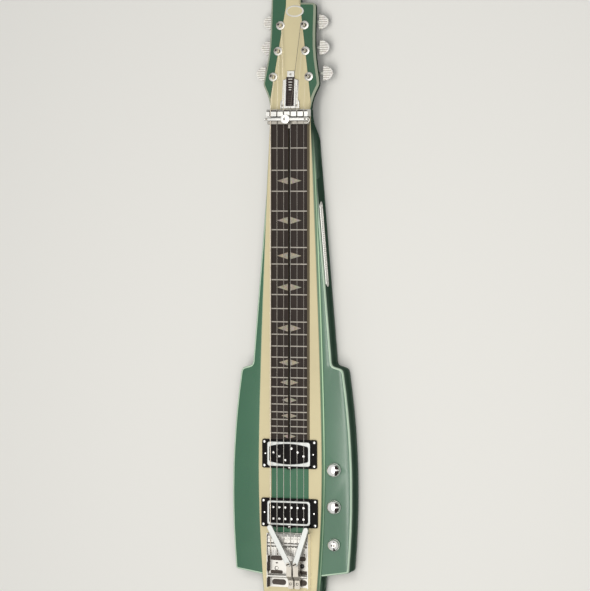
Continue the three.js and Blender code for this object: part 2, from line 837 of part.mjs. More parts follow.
// Truss rod cover: a stepped plate with a window sunk into it
function trussRodCover() {
  const tab = coverLength - coverTabLength;
  const outline = bothSides([
    at(coverTabHalf, coverLength), at(coverTabHalf, tab), at(coverMidHalf, tab - coverRound),
    at(coverMidHalf, coverFootLength), at(coverFootHalf, coverFootLength - coverRound), at(coverFootHalf, 0),
  ]).map((p) => at(p.x, p.y + coverStart));
  const window = roundedOutline(rectangle(-coverWindowHalf, coverWindowHalf,
    coverStart + coverWindowStart, coverStart + coverWindowStart + coverWindowLength), coverWindowRound);
  const top = seam + coverThickness;
  return cut(eased(outline.reverse(), seam, top, softEdge, softEdge, 1),
    slab(window, top - coverWindowDepth, top + overrun));
}

// Tuner parts, drawn for the right side with the post on the Z axis
function tunerHousing() {
  const plateTop = -headThickness - seam;
  const plateLow = plateTop - tunerPlateThickness;
  const bushTop = seam + flangeThickness;
  const bore = postRadius + seam;
  const plate = eased(rectangle(-tunerPlateHalfX, tunerPlateHalfX, -tunerPlateBack,
    wormOffset + tunerEarWidth / 2 + tunerEarThickness), plateLow, plateTop, fineEdge, fineEdge, 1);
  const ears = [-1, 1].map((end) => {
    const inner = end * (wormLength / 2 + seam);
    const outer = inner + end * tunerEarThickness;
    return box(Math.min(inner, outer), Math.max(inner, outer), wormOffset - tunerEarWidth / 2,
      wormOffset + tunerEarWidth / 2, plateLow - tunerEarDrop, plateLow + seam);
  });
  const bush = turned([
    at(bore, plateLow), at(bushRadius, plateLow), at(bushRadius, seam), at(flangeRadius, seam),
    at(flangeRadius, bushTop - fineEdge), at(flangeRadius - softEdge, bushTop),
    at(bore, bushTop), at(bore, plateLow),
  ], 0, 0, smallSides);
  const wellHole = post(0, 0, plateLow - overrun, plateTop + overrun, bore);
  const shaftHole = crossRod(wormOffset, shaftLevel, -wormLength, wormLength, wormShaftRadius + seam);
  return cut(joined(cut(plate, wellHole), bush, ...ears), shaftHole);
}

function stringPost() {
  const low = shaftLevel - gearThickness / 2;
  const shaft = turned([
    at(0, low), at(postRadius, low), at(postRadius, postWaistLow),
    at(postWaist, postWaistLow + postEdge), at(postWaist, postWaistHigh),
    at(postHead, postWaistHigh + postHeadSlope), at(postHead, postHeight - postEdge),
    at(postHead - postEdge, postHeight), at(0, postHeight),
  ], 0, 0, smallSides);
  const teeth = [];
  for (let k = 0; k < gearTeeth * 2; k += 1) {
    const angle = (k * Math.PI) / gearTeeth;
    const radius = k % 2 === 0 ? gearRadius : gearRadius - gearToothDepth;
    teeth.push(at(radius * Math.cos(angle), radius * Math.sin(angle)));
  }
  return shaft.add(slab(teeth, low, low + gearThickness));
}

function tunerButton() {
  const paddle = new THREE.Shape();
  paddle.moveTo(buttonOffset, -buttonHalf);
  paddle.absellipse(buttonOffset, 0, buttonReach, buttonHalf, -Math.PI / 2, Math.PI / 2, false);
  const outline = paddle.getPoints(curveSteps / 2).slice(1);
  const wing = easedGeometry(outline, shaftLevel - buttonThickness / 2, shaftLevel + buttonThickness / 2,
    buttonEdge, buttonEdge, 1).translate(0, wormOffset, 0);
  const shaftEnd = wormLength / 2 + seam + tunerEarThickness;
  const collarStart = buttonOffset - buttonCollarLength;
  return joined(
    solid(wing),
    crossRod(wormOffset, shaftLevel, -shaftEnd, buttonOffset + buttonReach / 2, wormShaftRadius),
    crossRod(wormOffset, shaftLevel, -wormLength / 2, wormLength / 2, wormRadius),
    crossRod(wormOffset, shaftLevel, collarStart, buttonOffset + buttonEdge, buttonCollarRadius),
  );
}

// Strings: straight from the saddle shaft to the nut, then down to the waist of their post
class Waypoints extends THREE.Curve {
  constructor(points) {
    super();
    this.points = points;
  }

  getPoint(share) {
    const place = share * (this.points.length - 1);
    const first = Math.min(Math.floor(place + weld), this.points.length - 2);
    return this.points[first].clone().lerp(this.points[first + 1], place - first);
  }

  getPointAt(share) {
    return this.getPoint(share);
  }

  getTangentAt(share) {
    const last = this.points.length - 1;
    const k = Math.round(share * last);
    const into = Math.max(k, 1);
    const out = Math.min(k, last - 1);
    const before = this.points[into].clone().sub(this.points[into - 1]).normalize();
    const after = this.points[out + 1].clone().sub(this.points[out]).normalize();
    return before.add(after).normalize();
  }
}

function stringRun(k) {
  const x = stringPlaces[k];
  const radius = stringRadii[k];
  const { side, x: postX, y: postY } = tuners[k];
  const bend = saddleShaftRadius + seam + thickestString;
  const points = [];
  const reach = stringDropReach - bend * Math.sin(stringDropAngle);
  const low = saddleShaftLevel + bend * Math.cos(stringDropAngle) - reach * Math.tan(stringDropAngle);
  points.push(new THREE.Vector3(x, -stringDropReach, low));
  for (let j = 0; j <= stringWrapSteps; j += 1) {
    const angle = stringDropAngle * (1 - j / stringWrapSteps);
    points.push(new THREE.Vector3(x, -bend * Math.sin(angle), saddleShaftLevel + bend * Math.cos(angle)));
  }
  points.push(new THREE.Vector3(x, breakY, stringLevel));
  const waistLevel = (postWaistLow + postWaistHigh) / 2 + postEdge / 2;
  const beside = postX - side * (postRadius + seam + radius);
  points.push(new THREE.Vector3(beside, postY + postWaist, waistLevel).applyMatrix4(headFrame));
  const section = new THREE.Shape();
  section.absarc(0, 0, radius, 0, 2 * Math.PI, false);
  const ring = new THREE.Shape(section.getPoints(stringSides).slice(0, -1));
  const steps = points.length - 1;
  return solid(new THREE.ExtrudeGeometry(ring, { steps, extrudePath: new Waypoints(points) }));
}

// Plate on the right side wall, drawn in its own frame with the wall at X = 0
function sidePlate() {
  const outline = (inset) => pill(inset - sidePlateLength / 2, sidePlateLength / 2 - inset, 0,
    sidePlateHeight - 2 * inset);
  const plate = across(outline(0), seam, seam + sidePlateThickness);
  const field = across(outline(sidePlateRim), seam + sidePlateThickness - sidePlateSink,
    seam + sidePlateThickness + overrun);
  return cut(plate, field);
}

// Pickups: a mounting ring, a chrome frame and a black bobbin with six or twelve poles
function pickupRing(y, ringHalf) {
  const [front, back] = [y - ringDepth / 2, y + ringDepth / 2];
  const outer = roundedOutline(rectangle(-ringHalf, ringHalf, front, back), ringCorner);
  const half = pickupHalf + seam;
  const reach = pickupDepth / 2 + seam;
  return cut(eased(outer, creamTop, creamTop + ringThickness, fineEdge, fineEdge, 1),
    box(-half, half, y - reach, y + reach, creamTop - overrun, creamTop + ringThickness + overrun));
}

// Half outline of the frame's opening: straight for the bridge, bowed for the neck
function pickupWindow(y, bowed, inset) {
  const half = pickupHalf - frameSideWall - inset;
  const reach = pickupDepth / 2 - frameWall - inset;
  const ends = bowed ? reach - frameWaist : reach;
  const bow = 2 * reach - ends;
  const top = new THREE.QuadraticBezierCurve(at(half, y + ends), at(0, y + bow), at(-half, y + ends));
  const bottom = new THREE.QuadraticBezierCurve(at(-half, y - ends), at(0, y - bow), at(half, y - ends));
  return bowed ? [...top.getPoints(curveSteps), ...bottom.getPoints(curveSteps)]
    : roundedOutline(rectangle(-half, half, y - reach, y + reach), windowCorner);
}

function pickupFrame(y, bowed) {
  const [front, back] = [y - pickupDepth / 2, y + pickupDepth / 2];
  const outer = roundedOutline(rectangle(-pickupHalf, pickupHalf, front, back), pickupCorner);
  const top = creamTop + pickupProud;
  return cut(eased(outer, creamTop - pickupSink, top, softEdge, softEdge, 1),
    slab(pickupWindow(y, bowed, 0), creamTop - pickupSink - overrun, top + overrun));
}

function pickupBobbin(y, bowed, poles) {
  const top = creamTop + pickupProud - bobbinDrop;
  const block = slab(pickupWindow(y, bowed, seam), creamTop - bobbinSink, top);
  return joined(block, ...poles.map((p) => post(p.x, y + p.y, top, top + poleProud, poleRadius, poleSides)));
}

const poleX = stringRadii.map((_, k) => (k - (stringRadii.length - 1) / 2) * polePitch);
const neckPoles = poleX.map((x, k) => {
  const start = x < 0 ? poleStaggerStart : poleStaggerStart + poleStaggerJump;
  return at(x, start - (k % (stringRadii.length / 2)) * poleStagger);
});
const bridgePoles = poleX.flatMap((x) => [at(x, poleRowGap / 2), at(x, -poleRowGap / 2)]);

// Tailpiece: a floor with slots between two side walls that hold the saddle shaft
function tailpieceFrame() {
  const floorTop = creamTop + tailFloor;
  const floor = box(-tailHalf, tailHalf, -tailBack, tailFront, creamTop, floorTop);
  const walls = [-tailHalf, tailHalf - tailWall].map((x) =>
    box(x, x + tailWall, -tailBack, tailFront, creamTop, creamTop + tailWallHeight));
  const shaftHalf = tailHalf - seam;
  const shaft = crossRod(0, saddleShaftLevel, -shaftHalf, shaftHalf, saddleShaftRadius, roundSides);
  const inner = tailHalf - tailWall;
  const edge = inner - slotInset;
  const slot = (x0, x1, y, width) =>
    slab(pill(x0, x1, y, width, cornerSteps), creamTop - overrun, floorTop + overrun);
  return cut(joined(floor, ...walls, shaft),
    slot(-edge, -leftSlotInner, frontSlotY, frontSlotWidth),
    slot(rightSlotInner, inner - frontSlotInset, frontSlotY, frontSlotWidth),
    slot(-edge, -leftSlotInner, middleSlotY, middleSlotWidth),
    slot(rightSlotInner, edge, middleSlotY, middleSlotWidth),
    slot(rearSlotInset - inner, -leftSlotInner / 2, rearSlotY, rearSlotWidth),
    slot(rightSlotInner, inner - rearSlotInset, rearSlotY, rearSlotWidth),
    post(sightHoleX, sightHoleY, creamTop - overrun, floorTop + overrun, sightHoleRadius, roundSides),
    crossRod(leverShaftY, leverShaftLevel, -tailHalf - overrun, tailHalf + overrun, leverShaftRadius + seam));
}

function saddle(x) {
  const low = creamTop + tailFloor + seam;
  const top = nutSlotFloor - saddleCrownDrop;
  const gap = saddleShaftRadius + seam * 2;
  const cradle = saddleShaftLevel - gap;
  const profile = [
    at(saddleFront, low), at(saddleFront, top - saddleNose), at(saddleFront - saddleNoseReach, top),
    at(gap, top), at(gap, cradle), at(-gap, cradle), at(-gap, top), at(-gap - saddleNoseReach, top),
    at(-saddleBack, top - saddleTailDrop), at(-saddleBack, low),
  ];
  const block = across(profile, x - saddleWidth / 2, x + saddleWidth / 2);
  return cut(block, box(x - saddleSlot / 2, x + saddleSlot / 2, -saddleBack - overrun, -saddleShaftRadius,
    top - saddleSlotDepth, top + overrun));
}

function leverShaft() {
  return crossRod(leverShaftY, leverShaftLevel, -tailHalf, tailHalf, leverShaftRadius, roundSides);
}

// A palm lever on the rear shaft: clamp block in front, finger behind, and the clamp screw on top
const leverTopLevel = leverShaftLevel + leverTop;
const clampY = leverShaftY + clampSetback;

function benderLever(x) {
  const level = leverShaftLevel;
  const blockLow = leverTopLevel - leverBlockHeight;
  const blockFront = leverShaftY + leverBlockFront + armHeel;
  const profile = [
    at(blockFront, leverTopLevel), at(leverShaftY + leverBlockBack, leverTopLevel),
    at(leverShaftY - leverHubRadius, level + leverHubRadius),
    at(leverShaftY - leverFinger, level + leverHubRadius),
    at(leverShaftY - leverFinger, level + leverHubRadius - leverFingerHeight),
    at(leverShaftY - leverHubRadius, level), at(leverShaftY, level), at(leverShaftY + leverHubRadius, level),
    at(leverShaftY + leverBlockFront / 2, blockLow), at(blockFront, blockLow),
  ];
  const half = leverWidth / 2;
  const armTop = leverTopLevel + seam + armThickness;
  const body = joined(
    across(profile.reverse(), x - half, x + half),
    crossRod(leverShaftY, level, x - half, x + half, leverHubRadius, roundSides),
    post(x, clampY, leverTopLevel - overrun, armTop + seam + clampHeadHeight, clampRadius),
    post(x, clampY, armTop + seam, armTop + seam + clampHeadHeight, clampHeadRadius),
  );
  const bore = leverShaftRadius + seam;
  return cut(body, crossRod(leverShaftY, level, x - leverWidth, x + leverWidth, bore, roundSides));
}

// A palm arm, drawn along Y with its clamp hole at the origin
function palmArm(length) {
  const bar = pill(-armHeel, length, 0, armWidth).map((p) => at(-p.y, p.x));
  return cut(eased(bar, 0, armThickness, softEdge, softEdge, 1),
    post(0, 0, -overrun, armThickness + overrun, clampRadius + seam));
}

// Knobs with their shafts, drawn in the row's own frame
function knob(y, radius) {
  const low = bodyDepth + potBushProud + seam;
  const top = bodyDepth + knobHeight;
  const shaftLow = bodyDepth - cavityRoof - strapThickness - potBoreDepth + seam;
  const waist = radius - knobSkirt;
  const dome = new THREE.QuadraticBezierCurve(at(waist, top - knobDome), at(waist, top), at(0, top));
  return turned([
    at(0, shaftLow), at(knobShaftRadius, shaftLow), at(knobShaftRadius, low), at(radius, low),
    at(radius, low + knobSkirt), ...dome.getPoints(cornerSteps),
  ], controlX, y, knobSides);
}

// Volume and tone controls and the selector switch on one metal strap under the top
function controlHarness() {
  const strapTop = bodyDepth - cavityRoof - seam;
  const strapLow = strapTop - strapThickness;
  const [front, back] = [selectorY - strapMargin, volumeY + strapMargin];
  const strap = box(controlX - strapHalf, controlX + strapHalf, front, back, strapLow, strapTop);
  const bore = knobShaftRadius + seam;
  const places = [volumeY, toneY, selectorY];
  const pots = places.map((y) => post(controlX, y, strapLow - potHeight, strapLow, potRadius));
  const bushes = places.map((y) => post(controlX, y, strapTop, bodyDepth + potBushProud, potBushRadius));
  const bores = places.map((y) => post(controlX, y, strapLow - potBoreDepth,
    bodyDepth + potBushProud + overrun, bore));
  return cut(joined(strap, ...pots, ...bushes), ...bores);
}

function outputJack() {
  const seatY = -endSetback - endDrop + jackSeatDepth;
  const profile = [
    at(0, jackSleeveLength + jackEnd), at(0, jackSleeveLength), at(jackBore, jackSleeveLength),
    at(jackBore, -jackFlangeThickness), at(jackFlangeRadius, -jackFlangeThickness), at(jackFlangeRadius, 0),
    at(jackSleeveRadius, 0), at(jackSleeveRadius, jackSleeveLength + jackEnd),
    at(0, jackSleeveLength + jackEnd),
  ];
  return solid(new THREE.LatheGeometry(profile, roundSides).translate(controlX, seatY, jackLevel));
}

// The whole instrument
const guitar = new THREE.Group();
guitar.add(
  mesh("neck_beam", neckBeam(), greenPaint),
  mesh("left_wing", wing(-1), greenPaint),
  mesh("right_wing", wing(1), greenPaint),
  mesh("cream_top", creamBoard(), creamPaint),
  mesh("control_cover", controlCover(), blackPlastic),
  mesh("fingerboard", fingerboard(), rosewood),
  mesh("capo_rail", capoRail(), darkMetal),
  mesh("nut", nut(), chrome),
);

const capo = new THREE.Group();
capo.add(
  mesh("capo_carriage", capoCarriage(), chrome),
  mesh("capo_bar", capoBar(), chrome),
  mesh("capo_knob", capoKnob(), chrome),
);
guitar.add(capo);

const head = new THREE.Group();
head.applyMatrix4(headFrame);
head.add(mesh("truss_rod_cover", trussRodCover(), chrome));
tuners.forEach(({ side, x, y }, k) => {
  const tuner = new THREE.Group();
  tuner.position.set(x, y, 0);
  const sided = (shape) => (side > 0 ? shape : mirrored(shape));
  tuner.add(
    mesh(`tuner_housing_${k + 1}`, sided(tunerHousing()), chrome),
    mesh(`string_post_${k + 1}`, stringPost(), chrome),
    mesh(`tuner_button_${k + 1}`, sided(tunerButton()), pearl),
  );
  head.add(tuner);
});
guitar.add(head);

stringRadii.forEach((_, k) => guitar.add(mesh(`string_${k + 1}`, stringRun(k), steel)));

const wallAngle = Math.atan2(shoulderHalf - neckHalf, scaleLength - shoulderY);
const plateGroup = new THREE.Group();
const plateX = neckHalf + Math.tan(wallAngle) * (scaleLength - sidePlateY);
plateGroup.position.set(plateX, sidePlateY, sidePlateLevel);
plateGroup.rotation.z = wallAngle;
plateGroup.add(mesh("side_plate", sidePlate(), chrome));
guitar.add(plateGroup);

guitar.add(
  mesh("neck_pickup_ring", pickupRing(neckPickupY, neckRingHalf), blackPlastic),
  mesh("neck_pickup_frame", pickupFrame(neckPickupY, true), chrome),
  mesh("neck_pickup_bobbin", pickupBobbin(neckPickupY, true, neckPoles), blackPlastic),
  mesh("bridge_pickup_ring", pickupRing(bridgePickupY, bridgeRingHalf), blackPlastic),
  mesh("bridge_pickup_frame", pickupFrame(bridgePickupY, false), chrome),
  mesh("bridge_pickup_bobbin", pickupBobbin(bridgePickupY, false, bridgePoles), blackPlastic),
  mesh("tailpiece_frame", tailpieceFrame(), chrome),
);
stringPlaces.forEach((x, k) => guitar.add(mesh(`saddle_${k + 1}`, saddle(x), chrome)));
guitar.add(
  mesh("lever_shaft", leverShaft(), steel),
  mesh("left_bender_lever", benderLever(leftLeverX), chrome),
  mesh("right_bender_lever", benderLever(rightLeverX), chrome),
);

const arms = [
  ["left_palm_arm", leftLeverX, leftArmLength, leftArmAngle],
  ["right_palm_arm", rightLeverX, rightArmLength, rightArmAngle],
];
for (const [name, x, length, angle] of arms) {
  const arm = new THREE.Group();
  arm.position.set(x, clampY, leverTopLevel + seam);
  arm.rotation.z = angle;
  arm.add(mesh(name, palmArm(length), chrome));
  guitar.add(arm);
}

guitar.add(
  mesh("volume_knob", knob(volumeY, knobRadius), chrome),
  mesh("tone_knob", knob(toneY, knobRadius), chrome),
  mesh("selector_knob", knob(selectorY, selectorRadius), chrome),
  mesh("control_harness", controlHarness(), darkMetal),
  mesh("output_jack", outputJack(), brass),
);

export default guitar;
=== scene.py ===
"""Lap steel guitar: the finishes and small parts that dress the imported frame."""

import json
import math

import bmesh
import bpy
from mathutils import Matrix, Vector


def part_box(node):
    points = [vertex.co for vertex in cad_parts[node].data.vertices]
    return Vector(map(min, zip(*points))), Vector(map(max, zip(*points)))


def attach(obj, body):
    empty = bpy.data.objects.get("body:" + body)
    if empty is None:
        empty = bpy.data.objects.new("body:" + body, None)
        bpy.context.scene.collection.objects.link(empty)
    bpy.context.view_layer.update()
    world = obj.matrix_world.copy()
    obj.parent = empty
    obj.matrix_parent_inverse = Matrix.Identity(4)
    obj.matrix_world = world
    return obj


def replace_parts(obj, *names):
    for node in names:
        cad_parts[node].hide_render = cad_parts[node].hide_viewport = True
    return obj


bl_info = {
    "name": "Lap Steel Guitar",
    "version": (1, 0, 0),
    "blender": (4, 5, 0),
    "location": "View3D > Sidebar > Lap Steel",
    "description": "Finishes, hardware and studio for a lap steel guitar",
    "category": "Add Mesh",
}

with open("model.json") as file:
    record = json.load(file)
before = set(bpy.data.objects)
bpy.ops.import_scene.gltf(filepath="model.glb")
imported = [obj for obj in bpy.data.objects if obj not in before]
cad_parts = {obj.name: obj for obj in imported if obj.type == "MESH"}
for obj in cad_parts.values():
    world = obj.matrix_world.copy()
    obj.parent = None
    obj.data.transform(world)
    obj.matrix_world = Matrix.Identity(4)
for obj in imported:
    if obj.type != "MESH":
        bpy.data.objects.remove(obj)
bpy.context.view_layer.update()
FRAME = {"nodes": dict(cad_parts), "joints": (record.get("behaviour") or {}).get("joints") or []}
NODES = FRAME["nodes"]
ROOT = "body"

# Metres in a millimetre; every place and size below is in millimetres unless it says otherwise
MM = 0.001

# Neck, strings and headstock
SCALE_LENGTH = 648.0
FRETS = 24
CREAM_TOP = 47.0
BOARD_TOP = 51.0
NUT_FRONT = 660.0
BREAK_Y = 671.0
HEAD_TILT = math.radians(5.5)
HEAD = Matrix.Translation((0, BREAK_Y, CREAM_TOP)) @ Matrix.Rotation(-HEAD_TILT, 4, "X")
STRING_PITCH, POLE_PITCH = 10.8, 9.8
STRING_X = [(k - 2.5) * STRING_PITCH for k in range(6)]
STRING_RADII = [0.62, 0.52, 0.44, 0.34, 0.3, 0.26]
WOUND_STRINGS = 3
POLE_X = [(k - 2.5) * POLE_PITCH for k in range(6)]

# Ends of a fret's halves, beside the slot and at the board's edge, and how far each inlay reaches
FRET_ENDS = (1.8, 28.9)
INLAY_SHARES = {3: 1, 5: 1, 7: 1, 9: 1, 12: 0.98, 15: 0.85, 17: 0.76, 19: 0.62, 21: 0.66, 24: 0.55}
INLAY_BASE, INLAY_TIP, INLAY_WIDTH = 2.25, 20.2, 10.8

# Tuners and rod cover, from the face of the headstock
WORM_OFFSET = 7.5
SHAFT_LEVEL = -18.1
CASE_LEVEL = -15.3
PADDLE_ROOT, PADDLE_LENGTH, PADDLE_HALF = 17.7, 16.0, 11.75
PADDLE_PITCH = 3.5
COVER_FOOT = 7.2

# Outline of the wings, and how their tops roll off towards it; the bow is per metre
NECK_HALF = 33.0
SHOULDER_HALF = 64.3
SHOULDER_Y = 275.4
BELLY_HALF = 97.0
BELLY_Y = 75.0
BELLY_BOW = 0.3798
ROLL_WIDTH = 10.5
ROLL_DEPTH = 0.48

# Painted highlight on a wing, as pairs of height and share: on its rounded edge, and on the beam's
# flank
EDGE_HIGHLIGHT = ((35.0, 0.0), (35.5, 0.9), (37.9, 0.95), (37.98, 0.0))
FLANK_HIGHLIGHT = ((38.6, 0.0), (39.2, 1.0), (41.2, 1.0), (42.0, 0.3), (43.6, 0.3), (44.2, 0.55),
              (45.0, 0.7))
COVE = (39.2, 41.2)
COVE_DEPTH = 0.6

# Tailpiece plate, saddles and knobs
PLATE_TOP = 49.2
SADDLE_TOP = 61.0
ARM_LEVEL, ARM_THICK = 70.0, 3.5
PLUG_X, PLUG_Y = -21.2, -37.8
KNOB_SEAT = 39.8
CROWN_INSET = 0.5
DOME_LEVEL, DOME_RISE = 46.0, 5.0

# The photograph: its height and midline in pixels, metres in a pixel, and the camera in metres
PICTURE_HEIGHT = 591
PICTURE_MIDDLE, MIDLINE = 295.0, 289.2
PIXEL = 1.543 * MM
VIEW_LEAN = math.radians(18)
VIEW_DISTANCE = 4.0
VIEW_TARGET = (0, 0.531, 0.051)
PICTURE_Y = 0.384

# Turns for round shapes, which are drawn upright
ALONG_X = Matrix.Rotation(math.pi / 2, 4, "Y")
ALONG_Y = Matrix.Rotation(math.pi / 2, 4, "X")
DOWNWARDS = Matrix.Rotation(math.pi, 4, "X")


def corners(node):
    """Lowest and highest corner of a frame part."""
    return [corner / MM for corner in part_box(node)]


def middle(node):
    low, high = corners(node)
    return (low + high) / 2


def joint_place(name):
    """Where a frame joint sits."""
    return Vector(next(j for j in FRAME["joints"] if j["name"] == name)["pos_m"]) / MM


TUNERS = [HEAD.inverted() @ joint_place(f"post_turn_{k}") for k in range(1, 7)]
CLAMP_Y = joint_place("left_arm_swivel").y
CAPO_Y = joint_place("capo_screw").y


def at(x, y, z):
    return Matrix.Translation((x, y, z))


def in_head(x, y, z):
    return HEAD @ at(x, y, z)


def turn_about_z(angle):
    return Matrix.Rotation(angle, 4, "Z")


def fret_y(n):
    return SCALE_LENGTH * 2 ** (-n / 12)


def srgb(*values):
    """A colour written as it looks, 0 to 255, as the linear one that the shaders take."""
    linear = []
    for value in values:
        c = value / 255
        linear.append(c / 12.92 if c <= 0.04045 else ((c + 0.055) / 1.055) ** 2.4)
    return (*linear, 1.0)


def tinted(colour, factor):
    return tuple(min(1.0, c * factor) for c in colour[:3]) + (1.0,)


# Nodes and finishes


def give(tree, socket, value):
    """Gives a socket a plain value, or links another node's output to it."""
    if isinstance(value, bpy.types.NodeSocket):
        tree.links.new(value, socket)
    else:
        socket.default_value = value


def add_node(tree, kind, inputs=None, **settings):
    node = tree.nodes.new(kind)
    for key, value in settings.items():
        setattr(node, key, value)
    for key, value in (inputs or {}).items():
        give(tree, node.inputs[key], value)
    return node


SPECULAR = "Specular IOR Level"


class Finish:
    """A node material that starts from one Principled shader and Object coordinates."""

    def __init__(self, name, colour, roughness, metallic=0.0, coat=0.0):
        self.material = bpy.data.materials.new(name)
        self.material.use_nodes = True
        self.material.diffuse_color = colour
        self.tree = self.material.node_tree
        self.shader = self.tree.nodes["Principled BSDF"]
        self.put("Base Color", colour)
        self.put("Roughness", roughness)
        self.put("Metallic", metallic)
        self.put("Coat Weight", coat)
        self.put("Coat Roughness", 0.08)
        self.place = self.add("TexCoord").outputs["Object"]

    def add(self, kind, inputs=None, **settings):
        return add_node(self.tree, f"ShaderNode{kind}", inputs, **settings)

    def put(self, socket, value):
        """Gives one of the shader's own sockets a plain value or a link."""
        give(self.tree, self.shader.inputs[socket], value)

    def axis(self, letter):
        """One coordinate in metres."""
        return self.add("SeparateXYZ", {"Vector": self.place}).outputs[letter]

    def facing(self, letter, both=True):
        """How far the surface faces along an axis, from 0 to 1, either way or along it alone."""
        normal = self.add("NewGeometry").outputs["Normal"]
        share = self.add("SeparateXYZ", {"Vector": normal}).outputs[letter]
        return self.maths("ABSOLUTE", share) if both else share

    def stretched(self, scale, turn=(0, 0, 0)):
        """Coordinates scaled apart along the axes, for grain and brush lines."""
        settings = {"Vector": self.place, "Scale": scale, "Rotation": turn}
        return self.add("Mapping", settings).outputs["Vector"]

    def noise(self, scale, detail=3.0, roughness=0.5, place=None, distortion=0.0):
        settings = {"Vector": place or self.place, "Scale": scale, "Detail": detail,
                    "Roughness": roughness, "Distortion": distortion}
        return self.add("TexNoise", settings).outputs["Fac"]

    def flakes(self, scale, place=None):
        """Small cells, each of its own random colour."""
        settings = {"Vector": place or self.place, "Scale": scale}
        return self.add("TexVoronoi", settings).outputs["Color"]

    def ramp(self, value, *stops):
        node = self.add("ValToRGB", {"Fac": value})
        elements = node.color_ramp.elements
        while len(elements) < len(stops):
            elements.new(0.5)
        for element, (position, colour) in zip(elements, stops):
            element.position = position
            element.color = colour
        return node.outputs["Color"]

    def tones(self, pattern, colour, *stops):
        """A colour darkened and lightened over a pattern: pairs of its value and a factor."""
        return self.ramp(pattern, *[(value, tinted(colour, factor)) for value, factor in stops])

    def span(self, value, low, high, out_low, out_high):
        settings = {"Value": value, "From Min": low, "From Max": high,
                    "To Min": out_low, "To Max": out_high}
        return self.add("MapRange", settings).outputs["Result"]

    def along(self, letter, low, high, out_low, out_high):
        """A number that changes along an axis, between two places."""
        return self.span(self.axis(letter), low * MM, high * MM, out_low, out_high)

    def band(self, stops):
        """A share from 0 to 1 that follows the height: pairs of height and share."""
        low, high = stops[0][0], stops[-1][0]
        place = self.along("Z", low, high, 0.0, 1.0)
        return self.ramp(place, *[((z - low) / (high - low), (v, v, v, 1.0)) for z, v in stops])

    def maths(self, operation, first, second=0.0):
        return self.add("Math", {0: first, 1: second}, operation=operation).outputs["Value"]

    def times(self, first, second):
        return self.maths("MULTIPLY", first, second)

    def plus(self, first, second):
        return self.maths("ADD", first, second)

    def minus(self, first, second):
        return self.maths("SUBTRACT", first, second)

    def blend(self, first, second, amount, mode="MIX"):
        sockets = {0: amount, 6: first, 7: second}
        return self.add("Mix", sockets, data_type="RGBA", blend_type=mode).outputs[2]

    def gloss(self, pattern, low, high, top=0.7):
        """Roughness between two values, over a pattern from 0.3 to the top."""
        self.put("Roughness", self.span(pattern, 0.3, top, low, high))

    def bump(self, height, strength, distance=0.0002):
        node = self.add("Bump", {"Height": height, "Strength": strength, "Distance": distance})
        self.put("Normal", node.outputs["Normal"])


def painted(f, colour, flake):
    """Paint with broad clouds, fine flake and a few darker specks."""
    base = f.tones(f.noise(7.0, 4.0, 0.6), colour, (0.3, 0.94), (0.7, 1.05))
    base = f.blend(base, f.blend(base, f.flakes(2600.0), 0.5, "OVERLAY"), flake)
    specks = f.span(f.noise(90.0, 6.0, 0.7), 0.66, 0.74, 0.0, 0.1)
    return f.blend(base, tinted(colour, 0.75), specks)


def lacquer(name, colour, flake, low=0.26, high=0.4, level=0.5, rim=None):
    """Painted wood with slightly uneven gloss and, if given, a painted highlight on the rim."""
    f = Finish(name, colour, 0.32)
    f.put(SPECULAR, level)
    base = painted(f, colour, flake)
    # Painted highlight: faces that don't face up take the rim colour.
    if rim:
        base = f.blend(base, rim, f.span(f.facing("Z"), 0.3, 0.7, 1.0, 0.0))
    f.put("Base Color", base)
    f.gloss(f.noise(22.0, 5.0, 0.65), low, high)
    f.bump(f.noise(60.0, 2.0, 0.4), 0.06, 0.0004)
    return f.material


def body_lacquer(name, colour, dark, pale=None, flank=None):
    """Body paint with painted shade down the walls; the beam's top has painted light, lighter
    towards the tail and darker towards the neck; a wing's has painted highlights on its edges and
    on the beam's flank.
    """
    f = Finish(name, colour, 0.3)
    base = painted(f, colour, 0.22)
    side = f.span(f.facing("Z"), 0.04, 0.36, 1.0, 0.0)
    shine = f.span(side, 0.0, 1.0, 0.55, 0.06)
    height = f.times(f.noise(60.0, 2.0, 0.4), 0.00002)
    if flank:
        # Painted highlight: pale bands on the wing's rounded edge and on the beam's flank.
        ragged = f.span(f.noise(30.0, 4.0, 0.6), 0.3, 0.7, 0.8, 1.0)
        edge = f.times(f.band(EDGE_HIGHLIGHT), f.along("Y", -54, -50, 0.0, 1.0))
        fade = f.times(f.along("Y", 60, 190, 0.45, 1.0), f.along("Y", -92, -80, 0.0, 1.0))
        base = f.blend(base, pale, f.times(edge, ragged))
        base = f.blend(base, flank, f.times(f.band(FLANK_HIGHLIGHT), fade))
        cove = f.along("Z", *COVE, COVE_DEPTH * MM, -COVE_DEPTH * MM)
        height = f.plus(f.plus(height, f.times(cove, fade)), rolled_edge(f))
    else:
        # Painted light: the beam's top faces are lightened towards the tail and darkened towards
        # the neck.
        up = f.span(f.facing("Z", False), 0.5, 0.8, 0.0, 1.0)
        base = f.blend(base, f.along("Y", 200, 300, 1.16, 0.86), up, "MULTIPLY")
        shine = f.minus(shine, f.times(up, 0.25))
    # Painted shade: where the surface turns to a wall, its colour goes to the dark wall green.
    f.put("Base Color", f.blend(base, dark, side))
    gloss = f.span(f.noise(22.0, 5.0, 0.65), 0.3, 0.7, 0.17, 0.25)
    f.put("Roughness", f.plus(gloss, f.times(side, 0.4)))
    f.put(SPECULAR, shine)
    f.bump(height, 1.0, 1.0)
    return f.material


